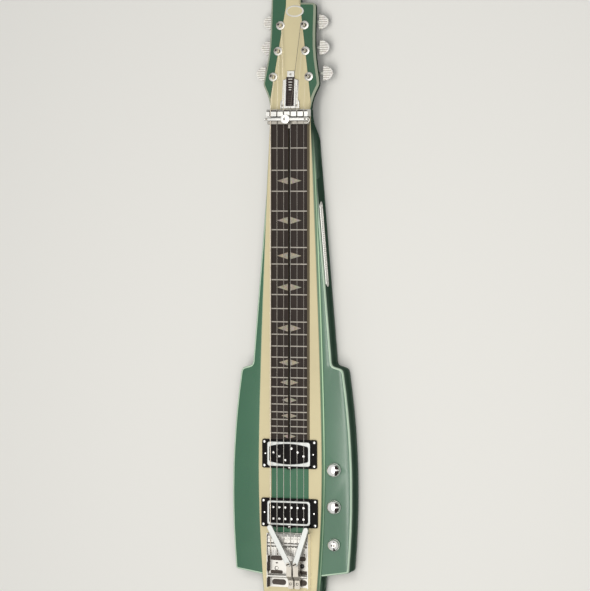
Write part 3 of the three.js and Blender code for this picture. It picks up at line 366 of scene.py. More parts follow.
def rolled_edge(f):
    """Depth, in metres, by which the flat top rolls off towards the outline."""
    y = f.axis("Y")
    off = f.plus(y, -BELLY_Y * MM)
    belly = f.minus(BELLY_HALF * MM, f.times(f.times(off, off), BELLY_BOW))
    slope = (SHOULDER_HALF - NECK_HALF) / (SCALE_LENGTH - SHOULDER_Y)
    neck = f.plus(f.times(f.minus(SCALE_LENGTH * MM, y), slope), NECK_HALF * MM)
    above = f.maths("GREATER_THAN", y, SHOULDER_Y * MM)
    outline = f.plus(belly, f.times(above, f.minus(neck, belly)))
    inside = f.minus(outline, f.maths("ABSOLUTE", f.axis("X")))
    near = f.span(inside, 0.0, ROLL_WIDTH * MM, 1.0, 0.0)
    return f.times(f.times(near, near), -ROLL_DEPTH * MM)


def dark_board(name, colour, edge):
    """Dark fingerboard wood with pores drawn along the neck and a paler edge."""
    f = Finish(name, colour, 0.5)
    f.put(SPECULAR, 0.15)
    grain = f.noise(60.0, 6.0, 0.65, f.stretched((9.0, 0.7, 9.0)))
    pores = f.noise(300.0, 3.0, 0.6, f.stretched((7.0, 0.35, 7.0)))
    base = f.tones(grain, colour, (0.3, 0.66), (0.55, 1.0), (0.78, 1.5))
    base = f.blend(base, tinted(colour, 0.45), f.span(pores, 0.62, 0.7, 0.0, 0.8))
    f.put("Base Color", f.blend(base, edge, f.span(f.facing("X"), 0.5, 0.8, 0.0, 0.9)))
    f.gloss(grain, 0.42, 0.62)
    f.bump(pores, 0.25)
    return f.material


def run_of_string(f, base, past_nut, bridge):
    """Painted reflection: a string's colour changes where it runs over the headstock and over the
    pickups.
    """
    base = f.blend(base, past_nut, f.along("Y", BREAK_Y - 3, BREAK_Y + 5, 0.0, 1.0))
    if bridge:
        base = f.blend(base, bridge, f.along("Y", 160, 172, 0.55, 0.0))
    return base


def polished(name, colour, low, high, scratch=0.05, flank=None, past_nut=None, bridge=None):
    """Plated metal with clouds, smears and hairlines; a flank or a string run gets a painted
    reflection.
    """
    f = Finish(name, colour, low, metallic=1.0)
    base = f.tones(f.noise(30.0), colour, (0.3, 0.94), (0.72, 1.0))
    # Painted reflection: faces turned along X take the flank colour.
    if flank:
        base = f.blend(base, flank, f.span(f.facing("X"), 0.6, 0.9, 0.0, 1.0))
    if past_nut:
        base = run_of_string(f, base, past_nut, bridge)
    f.put("Base Color", base)
    f.gloss(f.noise(80.0, 3.0, 0.6, f.stretched((1.0, 0.25, 1.0))), low, high, 0.75)
    f.bump(f.noise(900.0, 2.0, 0.5, f.stretched((1.0, 0.08, 1.0), (0, 0, 0.3))), scratch, 0.00005)
    return f.material


def wound_wire(name, colour, past_nut, bridge=None):
    """Round-wound string with fine ridges along its length."""
    f = Finish(name, colour, 0.34, metallic=1.0)
    ridges = {"Vector": f.place, "Scale": 900.0, "Distortion": 0.3}
    wave = f.add("TexWave", ridges, bands_direction="Y").outputs["Fac"]
    base = f.tones(wave, colour, (0.2, 0.78), (0.8, 1.05))
    f.put("Base Color", run_of_string(f, base, past_nut, bridge))
    f.gloss(f.noise(30.0), 0.26, 0.45)
    f.bump(wave, 0.5, 0.00008)
    return f.material


def plastic(name, colour, roughness):
    """Moulded plastic with a fine matt grain and a little dust."""
    f = Finish(name, colour, roughness)
    f.put(SPECULAR, 0.08)
    f.put("Base Color", f.tones(f.noise(160.0, 6.0, 0.7), colour, (0.45, 1.0), (0.8, 1.7)))
    f.gloss(f.noise(700.0), roughness - 0.06, roughness + 0.1)
    f.bump(f.noise(1800.0, 2.0), 0.12, 0.00004)
    return f.material


def pearloid(name, colour):
    """Pearl plastic: shifting pale flakes under a glossy skin."""
    f = Finish(name, colour, 0.22, coat=0.5)
    swirl = f.noise(150.0, 3.0, 0.55, distortion=1.6)
    base = f.tones(swirl, colour, (0.3, 0.8), (0.5, 1.0), (0.72, 1.12))
    flakes = f.flakes(420.0, f.stretched((1.0, 0.6, 1.4)))
    f.put("Base Color", f.blend(base, f.blend(base, flakes, 0.35, "SOFT_LIGHT"), 0.6))
    f.gloss(swirl, 0.16, 0.32)
    return f.material


def aged_metal(name, colour):
    """Brushed or anodised metal with short brush lines."""
    f = Finish(name, colour, 0.42, metallic=1.0)
    brush = f.noise(500.0, 3.0, 0.6, f.stretched((1.0, 0.05, 1.0)))
    f.put("Base Color", f.tones(brush, colour, (0.3, 0.72), (0.7, 1.15)))
    f.gloss(brush, 0.32, 0.54)
    f.bump(brush, 0.15, 0.00005)
    return f.material


# Modelling helpers: a shape is drawn in millimetres in its own frame and placed by a matrix


def added(bm, before):
    return [v for v in bm.verts if v not in before]


def unique(items):
    """The items once each and in their own order, which a set would lose."""
    return list(dict.fromkeys(items))


def raised(bm, faces, height):
    """Extrudes flat faces by a height and gives back their new vertices."""
    made = bmesh.ops.extrude_face_region(bm, geom=faces)
    top = [g for g in made["geom"] if isinstance(g, bmesh.types.BMVert)]
    bmesh.ops.translate(bm, vec=(0, 0, height), verts=top)
    return top


def rounded_edges(bm, verts, edge, segments, place):
    """Rounds the sharp edges among some vertices, then moves them into place."""
    if edge:
        own = set(verts)
        edges = unique(e for v in verts for e in v.link_edges if e.other_vert(v) in own)
        sharp = [e for e in edges if len(e.link_faces) == 2 and e.calc_face_angle(0) > 0.5]
        made = bmesh.ops.bevel(bm, geom=sharp, offset=edge, offset_type="OFFSET", segments=segments,
                               profile=0.5, affect="EDGES", material=-1, clamp_overlap=True)
        verts = [v for v in verts if v.is_valid] + made["verts"]
    bmesh.ops.transform(bm, matrix=place, verts=unique(verts))


def block(bm, low, high, edge, segments, place=Matrix()):
    """A box between two corners with its edges rounded."""
    centre = [(a + b) / 2 for a, b in zip(low, high)]
    size = Matrix.Diagonal([b - a for a, b in zip(low, high)] + [1])
    made = bmesh.ops.create_cube(bm, size=1, matrix=at(*centre) @ size)
    rounded_edges(bm, made["verts"], edge, segments, place)


def arc(angles, half_x, half_y, x=0.0, y=0.0):
    """The points of an ellipse at some angles."""
    return [(x + half_x * math.cos(a), y + half_y * math.sin(a)) for a in angles]


def ellipse(half_x, half_y, count, x=0.0, y=0.0):
    return arc([math.tau * k / count for k in range(count)], half_x, half_y, x, y)


def soft_rectangle(half_x, half_y, radius, bow=0.0, steps=6):
    """A rectangle with round corners, its long sides drawn in towards the ends by the bow."""
    points = []
    for k, (sx, sy) in enumerate(((1, 1), (-1, 1), (-1, -1), (1, -1))):
        x, y = sx * (half_x - radius), sy * (half_y - radius)
        angles = [math.pi / 2 * (k + j / steps) for j in range(steps + 1)]
        points += arc(angles, radius, radius, x, y)
        if k % 2 == 0:
            points += [(x * (1 - j / steps), sy * half_y) for j in range(1, 2 * steps)]
    return [(x, y - math.copysign(bow * (x / half_x) ** 2, y)) for x, y in points]


def open_frame(bm, outer, inner, low, high, edge, segments, place):
    """A flat frame between two outlines with the same number of points."""
    edges, verts = [], []
    for outline in (outer, inner):
        loop = [bm.verts.new((x, y, low)) for x, y in outline]
        edges += [bm.edges.new(pair) for pair in zip(loop, loop[1:] + loop[:1])]
        verts += loop
    made = bmesh.ops.bridge_loops(bm, edges=edges)
    rounded_edges(bm, verts + raised(bm, made["faces"], high - low), edge, segments, place)


def plate(bm, outline, low, high, edge=0.0, segments=2, place=Matrix()):
    """A flat plate with the given outline, raised from low to high."""
    verts = [bm.verts.new((x, y, low)) for x, y in outline]
    face = bm.faces.new(verts)
    turns = zip(outline, outline[1:] + outline[:1])
    if face.normal.z > 0 or sum(a[0] * b[1] - b[0] * a[1] for a, b in turns) > 0:
        face.normal_flip()
    rounded_edges(bm, verts + raised(bm, [face], high - low), edge, segments, place)


def turned(bm, profile, segments, place=Matrix()):
    """A profile of radius and height spun round the Z axis."""
    verts = [bm.verts.new((r, 0, z)) for r, z in profile]
    edges = [bm.edges.new(pair) for pair in zip(verts, verts[1:])]
    if profile[0] == profile[-1]:
        bmesh.ops.remove_doubles(bm, verts=verts, dist=0.0001)
        verts = [v for v in verts if v.is_valid]
        edges = [e for e in edges if e.is_valid]
    before = set(bm.verts) - set(verts)
    bmesh.ops.spin(bm, geom=verts + edges, cent=(0, 0, 0), axis=(0, 0, 1), angle=math.tau,
                   steps=segments, use_merge=True, use_duplicate=False)
    bmesh.ops.remove_doubles(bm, verts=added(bm, before), dist=0.0005)
    bmesh.ops.transform(bm, matrix=place, verts=added(bm, before))


def coil(bm, radius, wire, turns, height, place, steps=20, sides=8):
    """Turns of wire wound round a post."""
    before = set(bm.verts)
    ring = bmesh.ops.create_circle(bm, cap_ends=False, radius=wire, segments=sides,
                                   matrix=at(radius, 0, 0) @ ALONG_Y)["verts"]
    edges = unique(e for v in ring for e in v.link_edges)
    count = int(turns * steps)
    bmesh.ops.spin(bm, geom=ring + edges, cent=(0, 0, 0), axis=(0, 0, 1), angle=math.tau * turns,
                   steps=count, dvec=(0, 0, height / count), use_merge=False, use_duplicate=False)
    verts = added(bm, before)
    own = set(verts)
    rims = [e for e in bm.edges if e.is_boundary and e.verts[0] in own]
    bmesh.ops.holes_fill(bm, edges=rims, sides=sides)
    bmesh.ops.transform(bm, matrix=place, verts=verts)


def ridged(bm, count, low, high, edge, place):
    """The same small block set round the Z axis."""
    for k in range(count):
        block(bm, low, high, edge, 1, place @ turn_about_z(math.tau * k / count))


def screw_head(bm, radius, height, place, turn, slot=0.22, cross=False):
    """A domed screw head on Z = 0 with a sunk slot or cross, its width a share of the radius."""
    before = set(bm.verts)
    turned(bm, [(0, 0), (radius, 0), (radius, height * 0.35), (radius * 0.8, height * 0.8),
                (radius * 0.45, height), (0, height)], 28)
    half = radius * slot / 2
    reach = radius * (0.62 if cross else 2.0) + height
    for angle in ([turn, turn + math.pi / 2] if cross else [turn]):
        across = Vector((math.cos(angle), math.sin(angle), 0))
        for side in (-1, 1):
            own = added(bm, before)
            faces = unique(f for v in own for f in v.link_faces)
            edges = unique(e for v in own for e in v.link_edges)
            bmesh.ops.bisect_plane(bm, geom=own + edges + faces, dist=0.0001,
                                   plane_co=across * side * half, plane_no=across)
        sunk = [f for f in unique(f for v in added(bm, before) for f in v.link_faces)
                if f.normal.z > 0.2 and abs(f.calc_center_median().dot(across)) < half
                and f.calc_center_median().length < reach]
        if sunk:
            raised(bm, sunk, -height * 0.45)
            bmesh.ops.delete(bm, geom=sunk, context="FACES_KEEP_BOUNDARY")
    bmesh.ops.transform(bm, matrix=place, verts=added(bm, before))


def pill(start, end, width, steps=16):
    """A long outline with round ends, along Y."""
    r = width / 2
    angles = [-math.pi / 2 + math.pi * k / steps for k in range(steps + 1)]
    far = [(-r * math.sin(a), end - r + r * math.cos(a)) for a in angles]
    return far + [(r * math.sin(a), start + r - r * math.cos(a)) for a in angles]


def drawn(shape, *rows):
    """A new mesh that holds a shape once for each row of its measures."""
    bm = bmesh.new()
    for row in rows:
        shape(bm, *row)
    return bm


def copied_faces(node, keep):
    """A merged copy of the frame faces that a test keeps."""
    bm = bmesh.new()
    bm.from_mesh(NODES[node].data)
    bmesh.ops.remove_doubles(bm, verts=bm.verts, dist=0.00001)
    bmesh.ops.scale(bm, vec=(1 / MM, 1 / MM, 1 / MM), verts=bm.verts)
    bm.normal_update()
    bmesh.ops.delete(bm, geom=[f for f in bm.faces if not keep(f)], context="FACES")
    return bm


def part(name, bm, finish, body=ROOT, angle=35.0):
    """Turns the millimetre mesh into a metre object that rides on its body."""
    bmesh.ops.remove_doubles(bm, verts=bm.verts, dist=0.00005)
    bmesh.ops.recalc_face_normals(bm, faces=bm.faces)
    bmesh.ops.scale(bm, vec=(MM, MM, MM), verts=bm.verts)
    mesh = bpy.data.meshes.new(name)
    bm.to_mesh(mesh)
    bm.free()
    mesh.shade_smooth()
    mesh.set_sharp_from_angle(angle=math.radians(angle))
    mesh.materials.append(FINISHES[finish])
    piece = bpy.data.objects.new(name, mesh)
    bpy.context.scene.collection.objects.link(piece)
    piece.modifiers.new("Even flats", "WEIGHTED_NORMAL").keep_sharp = True
    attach(piece, body)
    return piece


# What a user may change


class LapSteelSizes(bpy.types.PropertyGroup):
    fret_width: bpy.props.FloatProperty(
        name="Fret width", description="Width of a fret wire in mm", default=2.04, min=1.0, max=4.0)
    fret_height: bpy.props.FloatProperty(
        name="Fret height", description="Crown of a fret wire in mm", default=0.72, min=0.3,
        max=2.0)
    screw_radius: bpy.props.FloatProperty(
        name="Ring screw radius", description="Head radius of the ring screws in mm",
        default=2.1, min=1.0, max=4.0)
    knob_ridges: bpy.props.IntProperty(
        name="Knob ridges", description="Fine ridges round a control knob", default=44, min=12,
        max=90)


class LapSteelColours(bpy.types.PropertyGroup):
    green: bpy.props.FloatVectorProperty(
        name="Green", description="Body lacquer", subtype="COLOR", size=4, min=0, max=1,
        default=srgb(59, 105, 78))
    cream: bpy.props.FloatVectorProperty(
        name="Cream", description="Top and stripe", subtype="COLOR", size=4, min=0, max=1,
        default=srgb(214, 202, 162))
    board: bpy.props.FloatVectorProperty(
        name="Fingerboard", description="Dark wood", subtype="COLOR", size=4, min=0, max=1,
        default=srgb(50, 42, 38))
    chrome: bpy.props.FloatVectorProperty(
        name="Chrome", description="Plated metal", subtype="COLOR", size=4, min=0, max=1,
        default=srgb(208, 207, 203))


# Filled by the finishes' operator
FINISHES = {}

# Frame parts whose finish doesn't follow from their kind
FRAME_FINISHES = {
    "neck_beam": "green", "left_wing": "wing green", "right_wing": "wing green",
    "cream_top": "cream", "fingerboard": "board", "capo_rail": "dark metal",
    "control_harness": "dark metal",
    "control_cover": "black", "output_jack": "brass", "lever_shaft": "satin chrome",
    "tailpiece_frame": "satin chrome", "left_bender_lever": "lever satin",
    "right_bender_lever": "lever satin", "capo_carriage": "worn nickel", "string_1": "bass wire",
    "string_4": "inner wire",
}


def frame_finish(name):
    """The key of a frame part's finish."""
    if name in FRAME_FINISHES:
        return FRAME_FINISHES[name]
    if name.endswith(("_ring", "_bobbin")):
        return "black"
    if name.startswith("tuner_button"):
        return "pearl"
    if name.startswith("saddle_"):
        return "satin chrome"
    if name.startswith("string_") and "post" not in name:
        return string_finish(int(name[-1]))
    return "chrome"


def string_finish(k):
    return "wound wire" if k <= WOUND_STRINGS else "plain wire"


def smoothing_tree():
    """Joins a frame part's loose triangles and shades its gentle turns smooth."""
    tree = bpy.data.node_groups.new("Soft shading", "GeometryNodeTree")
    for way in ("INPUT", "OUTPUT"):
        tree.interface.new_socket("Geometry", in_out=way, socket_type="NodeSocketGeometry")
    shape = add_node(tree, "NodeGroupInput").outputs[0]
    for kind, inputs in (("RemoveAttribute", {"Name": "custom_normal"}),
                         ("MergeByDistance", {"Distance": 0.01 * MM}), ("SetShadeSmooth", {})):
        node = add_node(tree, f"GeometryNode{kind}", {"Geometry": shape, **inputs})
        shape = node.outputs["Geometry"]
    angle = add_node(tree, "GeometryNodeInputMeshEdgeAngle").outputs["Unsigned Angle"]
    over = add_node(tree, "FunctionNodeCompare", {0: angle, 1: math.radians(37)},
                    operation="GREATER_THAN").outputs["Result"]
    sharp = {"Geometry": shape, "Selection": over, "Shade Smooth": False}
    shape = add_node(tree, "GeometryNodeSetShadeSmooth", sharp, domain="EDGE").outputs["Geometry"]
    add_node(tree, "NodeGroupOutput", {0: shape})
    return tree


def smooth_frame(node):
    """Shades a frame part smooth, and eases the edges of plated and black ones but the bobbins."""
    tree = bpy.data.node_groups.get("Soft shading") or smoothing_tree()
    node.modifiers.new("Soft shading", "NODES").node_group = tree
    if frame_finish(node.name) in ("chrome", "black") and "bobbin" not in node.name:
        soft = node.modifiers.new("Soft edges", "BEVEL")
        soft.width = 0.3 * MM
        soft.segments = 2
        soft.limit_method = "ANGLE"
        soft.angle_limit = math.radians(40)
        soft.harden_normals = True


class LAPSTEEL_OT_finishes(bpy.types.Operator):
    """Mix the finishes and give every frame part its own"""

    bl_idname = "lapsteel.finishes"
    bl_label = "Finishes"

    def execute(self, context):
        colours = context.scene.lap_steel_colours
        green, cream, board, chrome = (tuple(getattr(colours, key))
                                       for key in ("green", "cream", "board", "chrome"))
        # The dark wall green is painted shade on the body's walls.
        wall = srgb(29, 65, 46)
        # The strings' colours over the headstock and over the pickups are painted reflections.
        plain, head_reflection, pickup_reflection = srgb(150, 146, 140), srgb(224, 214, 188), srgb(205, 202, 195)
        FINISHES.update({
            "green": body_lacquer("Green lacquer", green, wall),
            # The wing's two pale colours are painted highlights on its edges and on the beam's
            # flank.
            "wing green": body_lacquer("Wing lacquer", green, wall, srgb(212, 236, 210),
                                       srgb(206, 242, 200)),
            # The cream's rim colour is a painted highlight on its edges.
            "cream": lacquer("Cream lacquer", cream, 0.05, 0.3, 0.42, 0.3, srgb(206, 216, 184)),
            "board": dark_board("Dark fingerboard", board, srgb(122, 113, 92)),
            "chrome": polished("Polished chrome", chrome, 0.12, 0.2, 0.03),
            "cap chrome": polished("Cap chrome", srgb(232, 231, 228), 0.14, 0.24, 0.03),
            # Satin chrome's pale flank colour is a painted reflection on its sides.
            "satin chrome": polished("Satin chrome", srgb(194, 192, 187), 0.3, 0.42, 0.06,
                                     srgb(250, 249, 246)),
            "lever satin": polished("Lever satin", srgb(170, 165, 156), 0.34, 0.46, 0.06),
            "arm satin": polished("Arm satin", srgb(184, 186, 184), 0.4, 0.5),
            "worn nickel": polished("Worn nickel", srgb(146, 142, 135), 0.3, 0.42, 0.06),
            "nickel": polished("Fret nickel", srgb(146, 141, 133), 0.38, 0.5),
            "plain wire": polished("Plain string", plain, 0.3, 0.4,
                                   past_nut=head_reflection, bridge=pickup_reflection),
            "inner wire": polished("Inner plain string", plain, 0.3, 0.4,
                                   past_nut=srgb(112, 106, 98), bridge=pickup_reflection),
            "wound wire": wound_wire("Wound string", srgb(140, 135, 127), head_reflection, pickup_reflection),
            "bass wire": wound_wire("Bass string", srgb(226, 216, 202), head_reflection),
            "brass": aged_metal("Jack brass", srgb(190, 160, 96)),
            "dark metal": aged_metal("Dark rail", srgb(70, 70, 69)),
            "black": plastic("Black plastic", srgb(13, 10, 10), 0.4),
            # The dark insert finish also paints shade in holes, slots and behind the nut, and dark
            # reflections on the knobs.
            "insert": plastic("Dark insert and painted shade", srgb(54, 47, 46), 0.5),
            # This grey finish also paints shade under the tailpiece and on its left wall.
            "grey_and_shade": plastic("Grey trim and painted shade", srgb(84, 77, 72), 0.6),
            # The collar's pale grey is a painted highlight on the metal collar.
            "collar": lacquer("Shaft collar", srgb(196, 198, 190), 0.02),
            "groove": lacquer("Groove shade", srgb(176, 171, 163), 0.02),
            "pearl": pearloid("Pearl button", srgb(246, 242, 236)),
            "inlay": pearloid("Tan inlay", srgb(150, 139, 121)),
            "pale_edge": lacquer("Edge line", srgb(168, 177, 154), 0.02),
        })
        for name, node in NODES.items():
            node.data.materials.clear()
            node.data.materials.append(FINISHES[frame_finish(name)])
            smooth_frame(node)
        return {"FINISHED"}


class LAPSTEEL_OT_fingerboard(bpy.types.Operator):
    """Press in the fret wires and lay the split-diamond inlays"""

    bl_idname = "lapsteel.fingerboard"
    bl_label = "Frets and inlays"

    def execute(self, context):
        sizes = context.scene.lap_steel_sizes
        half, crown = sizes.fret_width / 2, BOARD_TOP + sizes.fret_height
        near, far = FRET_ENDS
        part("fret_wires", drawn(block, *[
            ((x0, fret_y(n) - half, BOARD_TOP - 1), (x1, fret_y(n) + half, crown), 0.45, 3)
            for n in range(1, FRETS) for x0, x1 in ((-far, -near), (near, far))]),
            "nickel")
        inlays = []
        for n, share in INLAY_SHARES.items():
            high, low = fret_y(n - 1), fret_y(n)
            y = (high + low) / 2
            rise = min(INLAY_WIDTH, 0.6 * (high - low)) / 2 - 0.12
            for side in (-1, 1):
                base, tip = side * INLAY_BASE, side * (INLAY_TIP * share - 0.35)
                inlays.append(([(tip, y), (base, y + rise), (base, y - rise)],
                               BOARD_TOP - 0.58, BOARD_TOP + 0.03))
        part("diamond_inlays", drawn(plate, *inlays), "inlay")
        return {"FINISHED"}


class LAPSTEEL_OT_headstock(bpy.types.Operator):
    """Edge line, badge and the insert and screws of the rod cover"""

    bl_idname = "lapsteel.headstock"
    bl_label = "Headstock trim"

    def execute(self, context):
        self.edge_line()
        badge = in_head(3.2, 153.5, 0)
        part("head_badge", drawn(plate, (ellipse(14.6, 9.2, 48), 0.05, 1.1, 0.4, 3, badge)),
             "satin chrome")
        part("head_badge_field", drawn(plate, (ellipse(12.2, 6.9, 44), 1.0, 1.4, 0.2, 2, badge)),
             "cream")
        cover = in_head(0, COVER_FOOT, 0)
        bm = drawn(block, ((-6.1, 0.3, 1.5), (6.1, 42.7, 2.35), 0.25, 2, cover))
        plate(bm, [(-6.8, -2.2), (6.8, -2.2), (6.8, 43.3), (-6.8, 43.3)],
              2.55, 2.85, 0.12, 2, cover)
        part("cover_insert", bm, "insert")
        part("cover_insert_bars", drawn(block, *[
            ((0.3 * k - 3.3, y - 0.65, 2.8), (3.3 - 0.3 * k, y + 0.65, 3.1), 0.2, 2, cover)
            for k, y in enumerate((39.8, 35.2, 30.8, 27.0, 23.3))]), "satin chrome")
        part("cover_insert_teeth", drawn(block, *[
            ((-2.6, 0.1 + k * 2.9, 2.8), (2.6, 1.1 + k * 2.9, 3.05), 0.15, 2, cover)
            for k in range(7)]), "grey_and_shade")
        part("cover_groove", drawn(block, ((8.7, -3.0, 2.6), (9.1, 40.0, 2.86), 0.06, 1, cover)),
             "insert")
        part("cover_screws", drawn(screw_head, *[
            (1.7, 0.9, in_head(x, y, 2.75), 0.5, 0.24, True)
            for x, y in ((0, 54.5), (-11.5, 6.0), (11.5, 6.0))]), "worn nickel")
        return {"FINISHED"}

    def edge_line(self):
        """The pale line on the headstock's chamfer."""
        lean = Vector((0, math.sin(HEAD_TILT), math.cos(HEAD_TILT)))
        bm = copied_faces("neck_beam", lambda face: face.calc_center_median().y > BREAK_Y + 4
                          and 0.55 < face.normal.dot(lean) < 0.85)
        bmesh.ops.recalc_face_normals(bm, faces=bm.faces)
        for face in bm.faces:
            if face.normal.dot(lean) < 0:
                face.normal_flip()
        bmesh.ops.solidify(bm, geom=bm.faces, thickness=-0.22)
        part("headstock_edge_line", bm, "pale_edge", angle=50)


class LAPSTEEL_OT_tuners(bpy.types.Operator):
    """Housings, bushings, posts, buttons and the string turns on the posts"""

    bl_idname = "lapsteel.tuners"
    bl_label = "Tuners"

    def execute(self, context):
        for k, place in enumerate(TUNERS, 1):
            side = 1 if place.x > 0 else -1
            frame = in_head(place.x, place.y, 0) @ Matrix.Diagonal((side, 1, 1, 1))
            shaft = frame @ at(0, WORM_OFFSET, SHAFT_LEVEL)
            self.housing(k, frame)
            self.post(k, frame)
            self.button(k, shaft)
            self.worm(k, shaft @ ALONG_X)
            self.winding(k, frame)
        return {"FINISHED"}

    def housing(self, k, frame):
        low = CASE_LEVEL
        under, over = low - 7.4, low + 0.2
        bm = drawn(block, ((-9, -8, low), (9, 13.6, low + 2), 0.6, 3, frame),
                   ((-7.9, 4.0, under), (-5.3, 11.0, over), 0.7, 3, frame),
                   ((5.3, 4.0, under), (7.9, 11.0, over), 0.7, 3, frame),
                   ((-7.9, 10.9, under), (7.9, 12.0, over), 0.5, 2, frame))
        turned(bm, [(3.2, low), (4.7, low), (4.7, 0.3), (7.0, 0.3), (7.1, 0.6), (7.0, 1.0),
                    (6.6, 1.4), (4.9, 1.7), (3.5, 1.75), (3.2, 1.6), (3.2, low)], 44, frame)
        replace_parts(part(f"tuner_case_{k}", bm, "satin chrome"), f"tuner_housing_{k}")
        part(f"tuner_screws_{k}", drawn(screw_head, *[
            (1.5, 0.9, frame @ at(x, -5.6, low) @ DOWNWARDS, 0.3 * k, 0.24, True)
            for x in (-6.6, 6.6)]), "satin chrome")

    def post(self, k, frame):
        shank = [(0, -20.2), (2.7, -20.2), (2.9, -19.9), (2.9, 5.2), (2.5, 5.9), (2.3, 6.4)]
        head = [(2.3, 8.6), (2.6, 9.3), (3.1, 10.3), (3.2, 10.7), (3.2, 11.9), (3.0, 12.3),
                (2.7, 12.4), (1.7, 12.4), (1.5, 12.2), (1.4, 10.2), (0, 10.0)]
        bm = drawn(turned, (shank + head, 36, frame))
        gear = bmesh.ops.create_circle(bm, cap_ends=True, radius=4.5, segments=60,
                                       matrix=at(0, 0, -19.9))["verts"]
        for index, vert in enumerate(gear):
            vert.co.xy = vert.co.xy.normalized() * (4.7 if index % 4 < 2 else 3.95)
        top = raised(bm, [gear[0].link_faces[0]], 3.6)
        bmesh.ops.transform(bm, matrix=frame, verts=gear + top)
        post = part(f"tuner_post_{k}", bm, "worn nickel", f"post_{k}")
        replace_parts(post, f"string_post_{k}")
        # Painted shade: a dark plug in the post's hole.
        hole = [(0, 9.9), (1.38, 9.9), (1.45, 11.9), (1.2, 12.1), (0, 12.1)]
        part(f"tuner_post_hole_shade_{k}", drawn(turned, (hole, 20, frame)), "insert",
             f"post_{k}")

    def button(self, k, place):
        angles = [math.pi * j / 28 for j in range(29)]
        bm = drawn(plate, ([(PADDLE_ROOT + PADDLE_LENGTH * math.sin(a), -PADDLE_HALF * math.cos(a))
                            for a in angles], -2.7, 2.7, 1.1, 4, place))
        for row in self.bars(6, 18.2, 1.15, 1.6, (2.3, 3.2)):
            block(bm, *row, 0.4, 3, place)
        button = part(f"tuner_paddle_{k}", bm, "pearl", f"tuner_shaft_{k}", angle=40)
        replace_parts(button, f"tuner_button_{k}")
        # Grey lines in the grooves between the ribs: painted shade.
        part(f"tuner_paddle_lines_{k}", drawn(block, *[
            (*row, 0.05, 1, place) for row in self.bars(7, 18.4, 0.5, 1.8, (2.6, 2.78))]),
            "groove", f"tuner_shaft_{k}")

    def bars(self, count, start, half, margin, levels):
        """Corners of the bars across both faces of a paddle; they stop short of its edge."""
        low, high = levels
        for j in range(count):
            y = (j - (count - 1) / 2) * PADDLE_PITCH
            end = PADDLE_ROOT + PADDLE_LENGTH * math.sqrt(1 - (y / PADDLE_HALF) ** 2) - margin
            for z0, z1 in ((-high, -low), (low, high)):
                yield (start, y - half, z0), (end, y + half, z1)

    def worm(self, k, shaft):
        threads = [(r, 1.2 * j - 4.8 + rise) for j in range(9)
                   for r, rise in ((1.9, -0.3), (2.5, 0.0), (2.5, 0.15), (1.9, 0.45))]
        core = [(0, -7.9), (1.7, -7.9), (1.7, -5.2), *threads, (1.7, 5.4), (1.7, 14.0), (0, 14.0)]
        part(f"tuner_worm_{k}", drawn(turned, (core, 24, shaft)), "chrome",
             f"tuner_shaft_{k}")
        # The collar's pale grey paint stands for its bright reflection: painted highlight.
        collar = [(0, 12.9), (2.0, 12.9), (2.4, 13.3), (2.9, 14.6), (3.0, 15.9), (2.9, 17.6),
                  (2.4, 18.2), (0, 18.2)]
        part(f"tuner_collar_{k}", drawn(turned, (collar, 28, shaft)), "collar",
             f"tuner_shaft_{k}")

    def winding(self, k, frame):
        wire = STRING_RADII[k - 1]
        turns = 2.4 if k <= WOUND_STRINGS else 3.2
        row = (2.34 + wire, wire, turns, -turns * wire * 1.75, frame @ at(0, 0, 8.6 - wire))
        part(f"string_turns_{k}", drawn(coil, row), string_finish(k), f"post_{k}")


